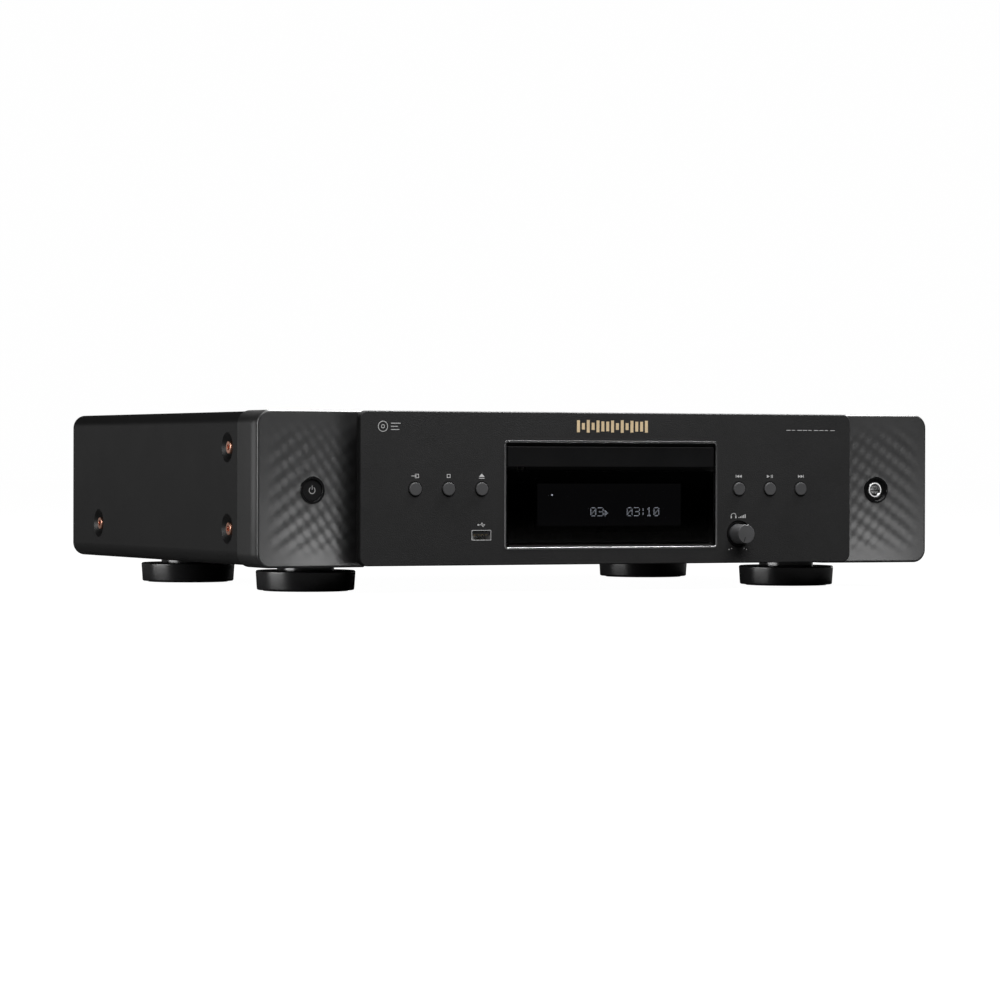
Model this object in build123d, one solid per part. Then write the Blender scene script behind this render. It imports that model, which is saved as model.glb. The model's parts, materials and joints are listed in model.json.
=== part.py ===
from build123d import *
import os
from math import acos, cos, pi, radians, sin, sqrt, tan

# Full-width compact-disc player.
# Frame: X to the right seen from the front, Y towards the rear, Z up, millimetres.
# The origin is on the surface that the feet stand on, under the middle of the whole box.
# Every piece is drawn with Y measured back from the face of the front plate, and
# save() moves it into the frame.

# ---------------------------------------------------------------- case
CASE_WIDTH = 442.0          # across the two cheeks
CASE_DEPTH = 326.0          # face of the front plate to the rear edge of the cover
CASE_HEIGHT = 90.1          # underside to top of the cheeks
FOOT_HEIGHT = 12.1
FOOT_GAP = 3.1              # top of a foot to the underside of the cheeks
FIT = 0.2                   # gap between fixed pieces that slide past each other when assembled

# ---------------------------------------------------------------- front plate and cheeks
PLATE_THICK = 5.0
PLATE_CORNER = 5.0
PLATE_BEVEL = 0.5
PLATE_RAISE = 0.9           # plate's lower edge above the cheeks' underside
PLATE_LOWER = 0.1           # plate's top edge below the cheeks' top
CHEEK_WIDTH = 59.5          # seen from the front, beside the plate
CHEEK_LAP = 9.5             # how far the cheek runs on behind the plate
CHEEK_WALL = 2.5
CHEEK_CORNER = 8.0
CHEEK_EDGE = 1.5            # rounding of the front edge
CHEEK_SETBACK = 9.5         # outer edge of the cheek's front, behind the plate's face
CHEEK_SWEEP = 400.0         # radius of the bowed front face, in plan
FRONT_DEPTH = 39.5          # plate's face to the cover's front edge
FRAME_WALL = 2.5
FRAME_RAISE = 1.5           # frame inside the plate's outline, above and below

# ---------------------------------------------------------------- cover and chassis
COVER_INSET = 1.5           # cover inside the cheeks at each side
COVER_RAISE = 0.9
COVER_LOWER = 0.55
COVER_SHEET = 1.2
COVER_CORNER = 8.0
COVER_JOINT = 0.4           # open joint between the cheeks and the cover
COVER_RETURN = 13.5         # width of the cover's flange under the case
CHASSIS_SHEET = 1.2
CHASSIS_INSET = 5.3         # chassis wall inside the cover's outer face
CHASSIS_CORNER = 5.0
CHASSIS_WALL = 32.7         # height of the low side walls
CHASSIS_EAR = 77.7          # height of the front ears and the front wall
CHASSIS_EAR_LENGTH = 32.0
REAR_RECESS = 0.8           # rear panel inside the cover's rear edge
VENT_LENGTH = 46.0
VENT_WIDTH = 3.0
VENT_PITCH = 9.0
VENT_COUNT = 8

# ---------------------------------------------------------------- side screws
DISH_RADIUS = 8.75
DISH_FLOOR_RADIUS = 4.8
DISH_DEPTH = 3.8
HEAD_RADIUS = 3.8
HEAD_HEIGHT = 3.2
HEX_RADIUS = 1.9
HEX_DEPTH = 1.3
THREAD_RADIUS = 2.0
THREAD_CLEARANCE = 0.15
SCREW_LENGTH = 9.0
SIDE_SCREW_LOW = 37.0
SIDE_SCREW_HIGH = 84.0
SIDE_SCREW_FRONT = 59.0
SIDE_SCREW_REAR = 48.0      # ahead of the cover's rear edge

# ---------------------------------------------------------------- feet
FOOT_RADIUS = 29.4
FOOT_TAPER = 0.8
FOOT_NECK = 16.75
FOOT_SIDE = 59.0            # foot centre inside the case's side
FOOT_FRONT = 79.0
FOOT_REAR = 54.3            # ahead of the cover's rear edge
FOOT_EDGE = 1.0
PAD_RADIUS = 25.0
PAD_THICK = 2.0
PAD_PROUD = 0.5

# ---------------------------------------------------------------- disc and tray
DISC_DIAMETER = 120.0
SMALL_DISC_DIAMETER = 80.0
POCKET_CLEARANCE = 0.5
TRAY_RIM = 4.5
TRAY_THICK = 5.0
TRAY_MARGIN = 8.0           # tray's front end to the disc pocket
POCKET_DEPTH = 2.5
SMALL_POCKET_DEPTH = 1.0
SLOT_WIDTH = 40.0
TRAY_OVERRUN = 3.5          # open disc pocket clear of the front plate
TRAY_GRIP = 27.0            # tray left inside the loader when open
TRAY_BOTTOM = 76.0
DOOR_OVERLAP = 3.0          # door beyond the tray at each side
DOOR_FACE = 0.5             # door and window faces behind the plate's face
DOOR_THICK = 3.0
DOOR_BOTTOM = 73.1
DOOR_HEIGHT = 11.95
DOOR_GAP = 1.05             # beside the door
DOOR_TOP_GAP = 2.35
SLIDE_CLEARANCE = 0.3

# ---------------------------------------------------------------- window and trim
TRIM_WIDTH = 1.2
TRIM_CORNER = 2.5
TRIM_PROUD = 0.25
WINDOW_SIDE_GAP = 1.25
WINDOW_BOTTOM = 28.6
WINDOW_TOP_GAP = 2.2        # door to window
SILL_HEIGHT = 2.3
SILL_RUN = 2.7
SCREEN_WIDTH = 100.0
SCREEN_BOTTOM = 35.0
SCREEN_HEIGHT = 32.0
SCREEN_GAP = 0.8            # behind the window
SCREEN_BOARD = 1.6
SCREEN_BORDER = 7.0

# ---------------------------------------------------------------- controls
BUTTON_RADIUS = 3.8
BUTTON_GAP = 0.45
BUTTON_PROUD = 1.0
BUTTON_TRAVEL = 0.8
BUTTON_ROW = 60.3
BUTTON_FIRST = 14.55        # beyond the window trim
BUTTON_PITCH = 21.1
BUTTON_FLANGE = 1.2
BUTTON_STEM = 2.0
BUTTON_LENGTH = 12.0
SWITCH_GAP = 0.1            # pressed stem to switch body
SWITCH_SIZE = 6.0
BOARD_THICK = 1.6
BOARD_FACE = 15.2
BOARD_LOW = 27.0
BOARD_HIGH = 75.0
BOARD_MARGIN = 3.75         # window trim to board
BOARD_OVERHANG = 8.0        # board beyond the last button
KNOB_RADIUS = 5.9
KNOB_PROUD = 9.5
KNOB_DRAFT = 0.4            # face's radius less than the skirt's
KNOB_EDGE = 0.2
KNOB_WELL = 7.95
KNOB_ROW = 33.5
KNOB_REACH = 1.5            # knob's skirt inside the well
WELL_FLOOR = 2.0
WELL_COLLAR = 7.2           # outer radius of the thin collar in the knob's well
WELL_COLLAR_WALL = 0.4
WELL_COLLAR_SHY = 0.4       # collar behind the plate's face
SHAFT_RADIUS = 3.0
RUNNING_FIT = 0.05
CONTROL_RADIUS = 8.0
CONTROL_LENGTH = 6.5
USB_WIDTH = 12.8
USB_HEIGHT = 6.2
USB_ROW = 33.55
USB_WALL = 0.4
USB_SHY = 0.3               # shell behind the plate's face
END_CONTROL_INSET = 34.8    # power button and headphone socket inside the case's side
END_CONTROL_ROW = 59.6
END_BUSH_BACK = 23.0        # rear end of the bushings in the cheeks
END_BOARD_FACE = 30.2       # front of the boards in the cheeks
END_POST_RADIUS = 2.5
END_POST_PITCH = 15.0       # post's middle above and below the row
POWER_RING = 7.75
POWER_BORE = 6.3
POWER_RADIUS = 6.0
POWER_SHY = 0.6             # button's face behind the cheek's
POWER_CAP_BACK = 20.0
RING_PROUD = 0.3
JACK_RING = 7.85
JACK_BUSH = 4.85
JACK_BORE = 3.2
JACK_DEPTH = 15.0
JACK_BODY = 7.0
JACK_RIM = 1.0              # width of the bushing's raised rim
JACK_SUNK = 1.3             # bushing's inner face behind the cheek's
JACK_SHY = 1.0              # bright bush behind the cheek's face

# ---------------------------------------------------------------- loader
LOADER_FRONT = 22.0
LOADER_WALL = 3.0
LOADER_SIDE_GAP = 3.0
LOADER_FLOOR = 44.0
LOADER_FLOOR_THICK = 2.5
DECK_HEIGHT = 54.0
DECK_THICK = 2.5
DECK_REAR = 48.5
LEDGE_WIDTH = 6.0
LEDGE_THICK = 2.5
LEG_RADIUS = 5.0
LEG_INSET = 7.0             # leg's middle inside the loader's outline
BRIDGE_BOTTOM = 86.0
BRIDGE_THICK = 2.0
BRIDGE_HALF_DEPTH = 15.0
MODULE = 1.0
PRESSURE_ANGLE = 20.0
ADDENDUM = 0.8
DEDENDUM = 1.1
BACKLASH = 0.16
DRIVE_TEETH = 24
PINION_TEETH = 14
RACK_LINE = 56.0            # rack's pitch line, left of the middle
RACK_BACK = 3.0
RACK_HEIGHT = 4.4
RACK_START = 29.0
DRIVE_Y = 37.0
GEAR_BORE = 2.0
PULLEY_RADIUS = 13.0
MOTOR_PULLEY_RADIUS = 3.5
MOTOR_X = 24.0
MOTOR_RADIUS = 10.0
MOTOR_BOSS = 3.0
MOTOR_SHAFT = 1.0
MOTOR_HEIGHT = 18.0
PULLEY_BOTTOM = 57.2
PULLEY_THICK = 4.0
PULLEY_LIP = 0.9
BELT_SIZE = 1.2
BELT_GAP = 0.05

# ---------------------------------------------------------------- traverse
TRAVERSE_HALF = 40.0
TRAVERSE_FRONT = 52.0
TRAVERSE_BOTTOM = 60.0
TRAVERSE_THICK = 2.5
TRAVERSE_TAIL = 7.0         # pivot ahead of the tray's rear end
PIVOT_RADIUS = 2.5
PIVOT_LENGTH = 6.0
SPINDLE_RADIUS = 12.0
SPINDLE_TOP = 72.5
TABLE_RADIUS = 15.0
TABLE_THICK = 1.5
DISC_LIFT = 2.2             # disc raised above the tray's floor to play
HUB_RADIUS = 7.35
HUB_HEIGHT = 1.9
SPINDLE_SHAFT = 1.0
CLAMP_RADIUS = 16.0
CLAMP_GAP = 1.4             # turntable face to clamper
CLAMP_THICK = 1.9
CLAMP_NECK = 10.0
CLAMP_PLAY = 2.0
CLAMP_FLANGE = 14.5
ROD_RADIUS = 1.5
ROD_OFFSET = 24.0
ROD_FRONT = 86.0
ROD_REAR = 172.0
ROD_HEIGHT = 68.5
BOSS_LENGTH = 5.0
INNER_TRACK = 25.0          # smallest radius that the lens reads
OUTER_TRACK = 59.0
SLED_LENGTH = 28.0
SLED_LEAD = 5.0
SLED_HALF = 28.0
LENS_RADIUS = 4.6
LENS_FOCUS = 0.6
SCREW_OFFSET = 34.0
SLED_MOTOR_RADIUS = 6.0
SLED_MOTOR_LENGTH = 15.0

# ---------------------------------------------------------------- electronics
BOARD_LIFT = 7.5
SPACER_RADIUS = 3.0
SIDE_CLEAR = 9.0            # boards inside the chassis wall
POWER_BOARD_WIDTH = 108.0
POWER_BOARD_START = 60.0
POWER_BOARD_LENGTH = 110.0
AUDIO_BOARD_WIDTH = 112.0
AUDIO_BOARD_START = 52.0
AUDIO_BOARD_END = 14.0      # ahead of the rear panel
CORE_WIDTH = 84.0
CORE_DEPTH = 40.0
CORE_HEIGHT = 70.0
CORE_START = 200.0
LIMB = 14.0
WINDING_GAP = 0.4
WINDING_OVERHANG = 14.0
CORE_OFFSET = 12.0          # transformer beyond the power board's outer edge
SPACER_INSET = 5.0          # spacer inside a board's corner
BOARD_PARTS_SINK = 0.5      # moulded parts merge into their board
RELAY_WIDTH = 18.0
RELAY_LENGTH = 14.0
RELAY_HEIGHT = 12.0
RELAY_PITCH = 24.0
RELAY_COUNT = 3
CAN_RADIUS = 11.0
CAN_HEIGHT = 38.0
CAN_PITCH = 26.0
CAN_EDGE = 1.0
FIN_COUNT = 9
FIN_THICK = 1.6
FIN_PITCH = 7.0
FIN_DEPTH = 18.0
SINK_THICK = 3.0
SINK_HEIGHT = 34.0
FILM_RADIUS = 5.0
FILM_HEIGHT = 11.0
FILM_ROWS = 4

# ---------------------------------------------------------------- rear sockets
SOCKET_PROUD = 10.0         # beyond the cover's rear edge
PHONO_RADIUS = 4.15
PHONO_COLLAR = 5.5
PHONO_COLLAR_THICK = 1.2
PHONO_BORE = 1.6
PHONO_DEPTH = 8.0
PHONO_PITCH = 18.0
LINE_SOCKET_INSET = 60.0    # outer line socket inside the case's side
LINE_SOCKET_ROW = 58.0
DIGITAL_INSET = 118.0
REMOTE_INSET = 158.0
REMOTE_BORE = 1.8
REMOTE_DEPTH = 12.0
INLET_INSET = 70.0
INLET_ROW = 58.0
INLET_WIDTH = 24.4
INLET_HEIGHT = 16.6
INLET_DEPTH = 15.0
INLET_WALL = 1.4
INLET_FLANGE = 3.2
INLET_PROUD = 2.0

# ---------------------------------------------------------------- derived places
HALF = CASE_WIDTH / 2
BASE = FOOT_HEIGHT + FOOT_GAP
TOP = BASE + CASE_HEIGHT
FRONT_Y = (KNOB_PROUD - CASE_DEPTH - SOCKET_PROUD) / 2

PLATE_HALF = HALF - CHEEK_WIDTH
PLATE_BOTTOM = BASE + PLATE_RAISE
PLATE_TOP = TOP - PLATE_LOWER
CHEEK_INNER = PLATE_HALF - CHEEK_LAP
FRAME_BOTTOM = PLATE_BOTTOM + FRAME_RAISE
FRAME_TOP = PLATE_TOP - FRAME_RAISE
FRAME_BACK = PLATE_THICK + FRAME_WALL

COVER_HALF = HALF - COVER_INSET
COVER_BOTTOM = BASE + COVER_RAISE
COVER_TOP = TOP - COVER_LOWER
COVER_FRONT = FRONT_DEPTH + COVER_JOINT
CHASSIS_HALF = COVER_HALF - CHASSIS_INSET
CHASSIS_BOTTOM = COVER_BOTTOM + COVER_SHEET
DECK = CHASSIS_BOTTOM + CHASSIS_SHEET
REAR_FACE = CASE_DEPTH - REAR_RECESS
REAR_INSIDE = REAR_FACE - CHASSIS_SHEET
SIDE_SCREWS = [
    (SIDE_SCREW_FRONT, SIDE_SCREW_HIGH),
    (SIDE_SCREW_FRONT, SIDE_SCREW_LOW),
    (CASE_DEPTH - SIDE_SCREW_REAR, SIDE_SCREW_LOW),
]
FEET = {
    "foot_front_left": (FOOT_SIDE - HALF, FOOT_FRONT),
    "foot_front_right": (HALF - FOOT_SIDE, FOOT_FRONT),
    "foot_rear_left": (FOOT_SIDE - HALF, CASE_DEPTH - FOOT_REAR),
    "foot_rear_right": (HALF - FOOT_SIDE, CASE_DEPTH - FOOT_REAR),
}

POCKET_RADIUS = DISC_DIAMETER / 2 + POCKET_CLEARANCE
TRAY_HALF = POCKET_RADIUS + TRAY_RIM
DOOR_BACK = DOOR_FACE + DOOR_THICK
DISC_Y = DOOR_BACK + TRAY_MARGIN + POCKET_RADIUS
TRAY_TRAVEL = DISC_Y + POCKET_RADIUS + TRAY_OVERRUN
TRAY_REAR = LOADER_FRONT + TRAY_TRAVEL + TRAY_GRIP
TRAY_TOP = TRAY_BOTTOM + TRAY_THICK
TRAY_FLOOR = TRAY_TOP - POCKET_DEPTH
DOOR_HALF = TRAY_HALF + DOOR_OVERLAP
DOOR_TOP = DOOR_BOTTOM + DOOR_HEIGHT
OPEN_HALF = DOOR_HALF + DOOR_GAP
OPEN_TOP = DOOR_TOP + DOOR_TOP_GAP
OPEN_BOTTOM = WINDOW_BOTTOM - SILL_HEIGHT
TRIM_HALF = OPEN_HALF + TRIM_WIDTH
WINDOW_HALF = OPEN_HALF - WINDOW_SIDE_GAP
WINDOW_TOP = DOOR_BOTTOM - WINDOW_TOP_GAP
SCREEN_FACE = DOOR_BACK + SCREEN_GAP

BUTTON_COLUMNS = [TRIM_HALF + BUTTON_FIRST + i * BUTTON_PITCH for i in range(3)]
BUTTONS = {
    "input_button": -BUTTON_COLUMNS[2],
    "stop_button": -BUTTON_COLUMNS[1],
    "open_button": -BUTTON_COLUMNS[0],
    "previous_button": BUTTON_COLUMNS[0],
    "play_button": BUTTON_COLUMNS[1],
    "next_button": BUTTON_COLUMNS[2],
}
KNOB_X = BUTTON_COLUMNS[0]
USB_X = -BUTTON_COLUMNS[0]
POWER_X = END_CONTROL_INSET - HALF
JACK_X = HALF - END_CONTROL_INSET

LOADER_HALF = TRAY_HALF + LOADER_SIDE_GAP + LOADER_WALL
LOADER_REAR = TRAY_REAR + 10.0
LEDGE_TOP = TRAY_BOTTOM - SLIDE_CLEARANCE
BRIDGE_TOP = BRIDGE_BOTTOM + BRIDGE_THICK
DRIVE_RADIUS = MODULE * DRIVE_TEETH / 2
PINION_RADIUS = MODULE * PINION_TEETH / 2
DRIVE_X = -RACK_LINE + DRIVE_RADIUS
BELT_GEAR_X = DRIVE_X + DRIVE_RADIUS + PINION_RADIUS
PULLEY_TOP = PULLEY_BOTTOM + PULLEY_THICK
DRIVE_BOTTOM = PULLEY_TOP + 1.0
RACK_BOTTOM = TRAY_BOTTOM - RACK_HEIGHT
BELT_LOW = PULLEY_BOTTOM + (PULLEY_THICK - BELT_SIZE) / 2

TRAVERSE_TOP = TRAVERSE_BOTTOM + TRAVERSE_THICK
PIVOT_Y = TRAY_REAR - TRAVERSE_TAIL
PIVOT_Z = TRAVERSE_BOTTOM + TRAVERSE_THICK / 2
TABLE_TOP = TRAY_FLOOR + DISC_LIFT
CLAMP_BOTTOM = TABLE_TOP + CLAMP_GAP
SLED_FRONT = DISC_Y + INNER_TRACK - SLED_LEAD
LENS_Y = DISC_Y + INNER_TRACK
SLED_TRAVEL = OUTER_TRACK - INNER_TRACK
SLED_MOTOR_START = ROD_REAR - 8.0 - SLED_MOTOR_LENGTH
CIRCUIT = DECK + BOARD_LIFT


# ---------------------------------------------------------------- building helpers
def block(x0, x1, y0, y1, z0, z1):
    """A straight-sided block between two places on each axis."""
    return Pos((x0 + x1) / 2, (y0 + y1) / 2, (z0 + z1) / 2) * Box(x1 - x0, y1 - y0, z1 - z0)


def rod_x(y, z, radius, x0, x1):
    """A round bar along X."""
    return Pos((x0 + x1) / 2, y, z) * Rot(0, 90, 0) * Cylinder(radius, abs(x1 - x0))


def rod_y(x, z, radius, y0, y1):
    """A round bar along Y."""
    return Pos(x, (y0 + y1) / 2, z) * Rot(90, 0, 0) * Cylinder(radius, y1 - y0)


def rod_z(x, y, radius, z0, z1):
    """An upright round bar."""
    return Pos(x, y, (z0 + z1) / 2) * Cylinder(radius, z1 - z0)


def rounded(x0, x1, z0, z1, corner, y0, y1):
    """A plate with rounded corners as seen from the front, between two depths."""
    outline = Pos((x0 + x1) / 2, (z0 + z1) / 2) * RectangleRounded(x1 - x0, z1 - z0, corner)
    return extrude(Plane.XZ.offset(-y1) * outline, y1 - y0)


def both_sides(shape):
    """The shape and its mirror image across the middle, as one."""
    return shape + mirror(shape, about=Plane.YZ)


def slots(x, y, width, length, pitch, count, z0, z1):
    """A row of round-ended slots along Y, set side by side along X about (x, y)."""
    cutter = extrude(SlotOverall(length, width, rotation=90), z1 - z0)
    row = None
    for i in range(count):
        one = Pos(x + (i - (count - 1) / 2) * pitch, y, z0) * cutter
        row = one if row is None else row + one
    return row


def save(name, *pieces):
    """Writes one node, moved into the frame, from one piece or a group of separate pieces."""
    placed = []
    for piece in pieces:
        for solid in piece.solids():
            placed.append(Pos(0, FRONT_Y, 0) * solid)
    shape = placed[0] if len(placed) == 1 else Compound(children=placed)
    export_step(shape, f"parts/{name}.step")


# ---------------------------------------------------------------- front
def cheek_front(x, inset):
    """Depth of the right cheek's front at x, drawn in by inset; the face sweeps back inwards."""
    reach = (CHEEK_SWEEP - inset) ** 2 - (HALF - x) ** 2
    return CHEEK_SETBACK + CHEEK_SWEEP - sqrt(reach)


def cheek_block(inset, depth):
    """The cheek's outer form on the right, drawn in by inset, as a solid block."""
    outer = HALF - inset
    inner = CHEEK_INNER + inset
    middle = (inner + outer) / 2
    ends = [(x, cheek_front(x, inset)) for x in (inner, middle, outer)]
    plan = ThreePointArc(*ends)
    plan += Polyline(ends[2], (outer, depth), (inner, depth), ends[0])
    low = BASE + max(inset, 0)
    high = TOP - max(inset, 0)
    form = extrude(Pos(0, 0, low) * make_face(plan), high - low)
    corner = CHEEK_CORNER - max(inset, 0)
    return form & rounded(inner - 2 * CHEEK_CORNER, outer, low, high, corner, 0, depth + 1)


def cheek():
    """The right-hand cheek: a hollow cap, open to the rear."""
    form = cheek_block(0, FRONT_DEPTH)
    face = form.faces().filter_by(GeomType.CYLINDER).sort_by(SortBy.AREA)[-1]
    rim = face.edges().filter_by(lambda edge: edge.center().X > CHEEK_INNER + 1)
    form = fillet(rim, CHEEK_EDGE)
    return form - cheek_block(CHEEK_WALL, FRONT_DEPTH + 1)


def end_control_posts():
    """Two posts inside the right cheek that carry the board of the control there."""
    posts = None
    for z in (END_CONTROL_ROW - END_POST_PITCH, END_CONTROL_ROW + END_POST_PITCH):
        post = rod_y(JACK_X, z, END_POST_RADIUS, CHEEK_SETBACK, END_BOARD_FACE)
        post &= cheek_block(CHEEK_WALL / 2, FRONT_DEPTH)
        posts = post if posts is None else posts + post
    return posts


def left_wing():
    shell = cheek() + end_control_posts()
    shell -= rod_y(JACK_X, END_CONTROL_ROW, POWER_RING, 0, FRONT_DEPTH)
    return mirror(shell, about=Plane.YZ)


def right_wing():
    shell = cheek() + end_control_posts()
    return shell - rod_y(JACK_X, END_CONTROL_ROW, JACK_RING, 0, FRONT_DEPTH)


def power_ring():
    """A bushing that follows the bowed face of the cheek, with the button's bore."""
    ring = rod_y(JACK_X, END_CONTROL_ROW, POWER_RING, 0, END_BUSH_BACK)
    ring &= cheek_block(-RING_PROUD, FRONT_DEPTH)
    ring -= rod_y(JACK_X, END_CONTROL_ROW, POWER_BORE, 0, FRONT_DEPTH)
    return mirror(ring, about=Plane.YZ)


def power_button():
    cap = rod_y(JACK_X, END_CONTROL_ROW, POWER_RADIUS, 0, POWER_CAP_BACK)
    cap &= cheek_block(POWER_SHY, FRONT_DEPTH)
    stem_end = END_BOARD_FACE - SWITCH_SIZE / 2 - BUTTON_TRAVEL - SWITCH_GAP
    cap += rod_y(JACK_X, END_CONTROL_ROW, BUTTON_STEM, POWER_CAP_BACK - 1, stem_end)
    return mirror(cap, about=Plane.YZ)


def headphone_ring():
    """A bushing with a raised rim round a sunk face."""
    ring = rod_y(JACK_X, END_CONTROL_ROW, JACK_RING, 0, END_BUSH_BACK)
    ring &= cheek_block(-RING_PROUD, FRONT_DEPTH)
    sunk = rod_y(JACK_X, END_CONTROL_ROW, JACK_RING - JACK_RIM, 0, END_BUSH_BACK)
    ring -= sunk - cheek_block(JACK_SUNK, FRONT_DEPTH)
    return ring - rod_y(JACK_X, END_CONTROL_ROW, JACK_BUSH, 0, FRONT_DEPTH)


def headphone_jack():
    """A stereo socket: bright bush, body and a blind bore."""
    face = cheek_front(JACK_X, 0) + JACK_SHY
    body = rod_y(JACK_X, END_CONTROL_ROW, JACK_BUSH, face, END_BUSH_BACK)
    body += block(JACK_X - JACK_BODY, JACK_X + JACK_BODY, END_BUSH_BACK, END_BOARD_FACE,
                  END_CONTROL_ROW - JACK_BODY, END_CONTROL_ROW + JACK_BODY)
    body -= rod_y(JACK_X, END_CONTROL_ROW, JACK_BORE, face, face + JACK_DEPTH)
    edge = body.edges().filter_by(GeomType.CIRCLE).sort_by(Axis.Y)[:2]
    return chamfer(edge, 0.5)


def front_plate():
    plate = rounded(-PLATE_HALF, PLATE_HALF, PLATE_BOTTOM, PLATE_TOP, PLATE_CORNER, 0, PLATE_THICK)
    plate = chamfer(plate.faces().sort_by(Axis.Y)[0].edges(), PLATE_BEVEL)
    plate -= rounded(-TRIM_HALF, TRIM_HALF, OPEN_BOTTOM - TRIM_WIDTH, OPEN_TOP + TRIM_WIDTH,
                     TRIM_CORNER, -1, PLATE_THICK + 1)
    for x in BUTTONS.values():
        plate -= rod_y(x, BUTTON_ROW, BUTTON_RADIUS + BUTTON_GAP, -1, PLATE_THICK + 1)
    plate -= rod_y(KNOB_X, KNOB_ROW, KNOB_WELL, -1, PLATE_THICK + 1)
    return plate - usb_block(0, -1, PLATE_THICK + 1)


def usb_block(inset, y0, y1):
    """The serial-bus opening, drawn in by inset."""
    return rounded(USB_X - USB_WIDTH / 2 + inset, USB_X + USB_WIDTH / 2 - inset,
                   USB_ROW - USB_HEIGHT / 2 + inset, USB_ROW + USB_HEIGHT / 2 - inset,
                   0.6 - inset / 2, y0, y1)


def usb_socket():
    shell = usb_block(FIT / 2, USB_SHY, BOARD_FACE)
    return shell - usb_block(FIT / 2 + USB_WALL, 0, BOARD_FACE - 1)


def window_trim():
    ring = rounded(-TRIM_HALF, TRIM_HALF, OPEN_BOTTOM - TRIM_WIDTH, OPEN_TOP + TRIM_WIDTH,
                   TRIM_CORNER, -TRIM_PROUD, PLATE_THICK)
    ring -= rounded(-OPEN_HALF, OPEN_HALF, OPEN_BOTTOM, OPEN_TOP,
                    TRIM_CORNER - TRIM_WIDTH, -1, PLATE_THICK + 1)
    return chamfer(ring.faces().sort_by(Axis.Y)[0].edges(), TRIM_PROUD)


def display_window():
    pane = rounded(-WINDOW_HALF, WINDOW_HALF, WINDOW_BOTTOM, WINDOW_TOP, 0.5, DOOR_FACE, DOOR_BACK)
    return chamfer(pane.faces().sort_by(Axis.Y)[0].edges(), 0.3)


def display_panel():
    """The luminous screen and its circuit board."""
    half = SCREEN_WIDTH / 2
    screen_top = SCREEN_BOTTOM + SCREEN_HEIGHT
    screen = block(-half, half, SCREEN_FACE, FRAME_BACK, SCREEN_BOTTOM, screen_top)
    board = block(-half - SCREEN_BORDER, half + SCREEN_BORDER, FRAME_BACK,
                  FRAME_BACK + SCREEN_BOARD, SCREEN_BOTTOM - 2, screen_top + 2)
    return screen + board


def front_frame():
    """The moulded box behind the plate that carries the window, boards and switches."""
    frame = block(-CHEEK_INNER, CHEEK_INNER, PLATE_THICK, FRONT_DEPTH, FRAME_BOTTOM, FRAME_TOP)
    inner = CHEEK_INNER - FRAME_WALL
    frame -= block(-inner, inner, FRAME_BACK, FRONT_DEPTH + 1,
                   FRAME_BOTTOM + FRAME_WALL, FRAME_TOP - FRAME_WALL)
    seat_half = WINDOW_HALF - 1.5
    frame += block(-seat_half, seat_half, DOOR_BACK, PLATE_THICK + 0.5,
                   WINDOW_BOTTOM + 1.5, WINDOW_TOP - 1.5)
    half = SCREEN_WIDTH / 2 + FIT
    frame -= block(-half, half, 0, FRAME_BACK + 1, SCREEN_BOTTOM - FIT,
                   SCREEN_BOTTOM + SCREEN_HEIGHT + FIT)
    sill = Polyline((SILL_RUN - 2.4, OPEN_BOTTOM), (PLATE_THICK, OPEN_BOTTOM),
                    (PLATE_THICK, WINDOW_BOTTOM), (SILL_RUN, WINDOW_BOTTOM), close=True)
    ends = OPEN_HALF - TRIM_CORNER
    frame += extrude(Pos(-ends, 0, 0) * (Plane.YZ * make_face(sill)), 2 * ends)
    frame -= block(-TRAY_HALF - 1, TRAY_HALF + 1, 0, FRAME_BACK + 1, TRAY_BOTTOM - 0.8, TRAY_TOP + 0.8)
    rack_left = -RACK_LINE - RACK_BACK
    frame -= block(rack_left - 1, -RACK_LINE + 2, 0, FRAME_BACK + 1, RACK_BOTTOM - 0.4, TRAY_BOTTOM)
    for x in BUTTONS.values():
        frame -= rod_y(x, BUTTON_ROW, BUTTON_RADIUS + BUTTON_FLANGE + 1, 0, FRAME_BACK + 1)
    frame -= usb_block(-FIT, 0, FRAME_BACK + 1)
    floor = rod_y(KNOB_X, KNOB_ROW, KNOB_WELL - FIT / 2, WELL_FLOOR, PLATE_THICK)
    floor += rod_y(KNOB_X, KNOB_ROW, WELL_COLLAR, WELL_COLLAR_SHY, WELL_FLOOR + 0.5)
    frame += floor - rod_y(KNOB_X, KNOB_ROW, WELL_COLLAR - WELL_COLLAR_WALL, 0, WELL_FLOOR)
    frame -= rod_y(KNOB_X, KNOB_ROW, SHAFT_RADIUS + 0.4, 0, FRAME_BACK + 1)
    left, right = board_span()
    for x, z in ((left + 3, BOARD_LOW + 20), (left + 3, BOARD_HIGH - 3),
                 (right - 3, BOARD_LOW + 3), (right - 3, BOARD_HIGH - 3)):
        frame += both_sides(rod_y(x, z, 2.5, PLATE_THICK + 1, BOARD_FACE))
    return frame


def board_span():
    """Left and right ends of the switch board behind the right-hand buttons."""
    return TRIM_HALF + BOARD_MARGIN, BUTTON_COLUMNS[2] + BOARD_OVERHANG


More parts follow.
